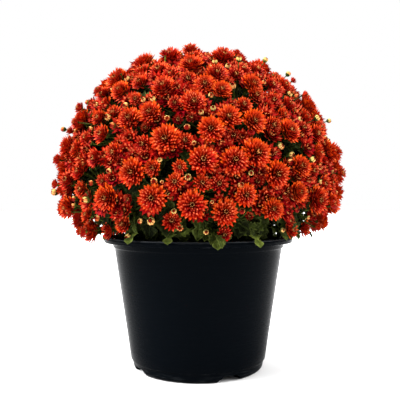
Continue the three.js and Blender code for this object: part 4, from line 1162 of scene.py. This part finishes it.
class PotSettings(bpy.types.PropertyGroup):
    """Sizes and colour of the pan"""
    rim_radius: bpy.props.FloatProperty(
        name="Rim radius", description="Outer radius of the rim flange",
        default=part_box("pot")[1].x, unit="LENGTH")
    foot_radius: bpy.props.FloatProperty(
        name="Foot radius", description="Outer radius of the foot", default=0.0876,
        unit="LENGTH")
    height: bpy.props.FloatProperty(
        name="Height", description="Height of the rim over the foot",
        default=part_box("pot")[1].z, unit="LENGTH")
    colour: bpy.props.FloatVectorProperty(
        name="Plastic", description="Colour of the pot", default=(0.0006, 0.0011, 0.0018),
        **COLOUR)


class PlantSettings(bpy.types.PropertyGroup):
    """Colours of petals, buds and leaves, and how many leaves there are"""
    petal_base: bpy.props.FloatVectorProperty(
        name="Petal base", description="Colour at the foot of a petal",
        default=(0.14, 0.003, 0.0015), **COLOUR)
    petal_middle: bpy.props.FloatVectorProperty(
        name="Petal middle", description="Colour half way along a petal",
        default=(0.50, 0.005, 0.002), **COLOUR)
    petal_tip: bpy.props.FloatVectorProperty(
        name="Petal tip", description="Colour at the tip of a petal",
        default=(0.72, 0.030, 0.002), **COLOUR)
    bud_gold: bpy.props.FloatVectorProperty(
        name="Bud", description="Colour of the outer petals of a bud",
        default=(0.78, 0.42, 0.13), **COLOUR)
    # The dark leaf colour is painted shade for leaves deep in the plant; the pale one is partly
    # painted light on leaves near the rim.
    leaf_in_shade: bpy.props.FloatVectorProperty(
        name="Leaf in shade", description="Colour of the leaves deep in the plant",
        default=(0.0032, 0.0044, 0.0008), **COLOUR)
    leaf_light: bpy.props.FloatVectorProperty(
        name="Pale leaf", description="Colour of the leaves near the rim",
        default=(0.13, 0.175, 0.027), **COLOUR)
    heart_leaves: bpy.props.IntProperty(
        name="Heart leaves", description="Old leaves on each main stem", default=18, min=1)
    deep_leaves: bpy.props.IntProperty(
        name="Deep leaves", description="Large old leaves inside each branch end",
        default=9, min=1)
    shell_leaves: bpy.props.IntProperty(
        name="Lower leaves", description="Leaves round each branch end", default=7, min=1)
    upper_leaves: bpy.props.IntProperty(
        name="Upper leaves", description="Leaves close under the blooms of each spray",
        default=6, min=1)


class StudioSettings(bpy.types.PropertyGroup):
    """Where the camera stands, and how wide the floor is"""
    eye_height: bpy.props.FloatProperty(
        name="Eye height", description="Height of the camera over the floor",
        default=EYE[2] * MM, unit="LENGTH")
    eye_distance: bpy.props.FloatProperty(
        name="Eye distance", description="Distance of the camera from the pot's axis",
        default=-EYE[1] * MM, unit="LENGTH")
    floor_width: bpy.props.FloatProperty(
        name="Floor width", description="Width of the pale floor", default=30.0,
        unit="LENGTH")


# ---- Operators ----

class MUM_OT_pot(bpy.types.Operator):
    """Makes the pan with its rounded rim, neck step, foot ledge and drains"""
    bl_idname = "mum.pot"
    bl_label = "Pan"

    def execute(self, context):
        pot = context.scene.mum_pot
        pot_piece(pot, pot_look(pot))
        return {"FINISHED"}


class MUM_OT_soil(bpy.types.Operator):
    """Makes the potting mix with its crumbly top"""
    bl_idname = "mum.soil"
    bl_label = "Potting mix"

    def execute(self, context):
        soil_piece(soil_look(), np.random.default_rng(SOIL_SEED))
        return {"FINISHED"}


class MUM_OT_leafy_stems(bpy.types.Operator):
    """Makes the leafy stems with their branches, leaf stalks and lobed leaves"""
    bl_idname = "mum.leafy_stems"
    bl_label = "Leafy stems"

    def execute(self, context):
        plant = context.scene.mum_plant
        look = leaf_look(plant)
        for number in range(len(plant_plan().stem_ways)):
            stem_piece(plant_plan(), number, look, plant)
        return {"FINISHED"}


class MUM_OT_bloom_sprays(bpy.types.Operator):
    """Makes the sprays: petals ring by ring, calyces, stalks and buds"""
    bl_idname = "mum.bloom_sprays"
    bl_label = "Bloom sprays"

    def execute(self, context):
        plant = context.scene.mum_plant
        looks = [petal_look(plant), bpy.data.materials.get("leaf_skin") or leaf_look(plant)]
        for number in range(SPRAY_COUNT):
            spray_piece(plant_plan(), number, looks)
        return {"FINISHED"}


class MUM_OT_stage(bpy.types.Operator):
    """Lays the pale floor and sets the soft studio light and the camera"""
    bl_idname = "mum.stage"
    bl_label = "Stage"

    def execute(self, context):
        studio = context.scene.mum_studio
        lay_floor(studio.floor_width)
        light_studio(context.scene)
        set_camera(context.scene, studio)
        return {"FINISHED"}


class MUM_PT_panel(bpy.types.Panel):
    """Lists the settings and the operators"""
    bl_label = "Pot mum"
    bl_idname = "MUM_PT_panel"
    bl_space_type = "VIEW_3D"
    bl_region_type = "UI"
    bl_category = "Pot mum"

    def draw(self, context):
        layout = self.layout
        for settings in (context.scene.mum_pot, context.scene.mum_plant,
                         context.scene.mum_studio):
            column = layout.column()
            for name in settings.bl_rna.properties.keys():
                if name not in ("rna_type", "name"):
                    column.prop(settings, name)
        for operator in OPERATORS:
            layout.operator(operator.bl_idname)


OPERATORS = (MUM_OT_pot, MUM_OT_soil, MUM_OT_leafy_stems, MUM_OT_bloom_sprays, MUM_OT_stage)
CLASSES = (PotSettings, PlantSettings, StudioSettings, *OPERATORS, MUM_PT_panel)


def register():
    for made in CLASSES:
        bpy.utils.register_class(made)
    bpy.types.Scene.mum_pot = bpy.props.PointerProperty(type=PotSettings)
    bpy.types.Scene.mum_plant = bpy.props.PointerProperty(type=PlantSettings)
    bpy.types.Scene.mum_studio = bpy.props.PointerProperty(type=StudioSettings)


def unregister():
    del bpy.types.Scene.mum_studio
    del bpy.types.Scene.mum_plant
    del bpy.types.Scene.mum_pot
    for made in reversed(CLASSES):
        bpy.utils.unregister_class(made)


def main():
    """Registers the add-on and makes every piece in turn."""
    register()
    bpy.ops.mum.pot()
    bpy.ops.mum.soil()
    bpy.ops.mum.leafy_stems()
    bpy.ops.mum.bloom_sprays()
    bpy.ops.mum.stage()
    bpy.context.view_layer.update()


if __name__ == "__main__":
    main()
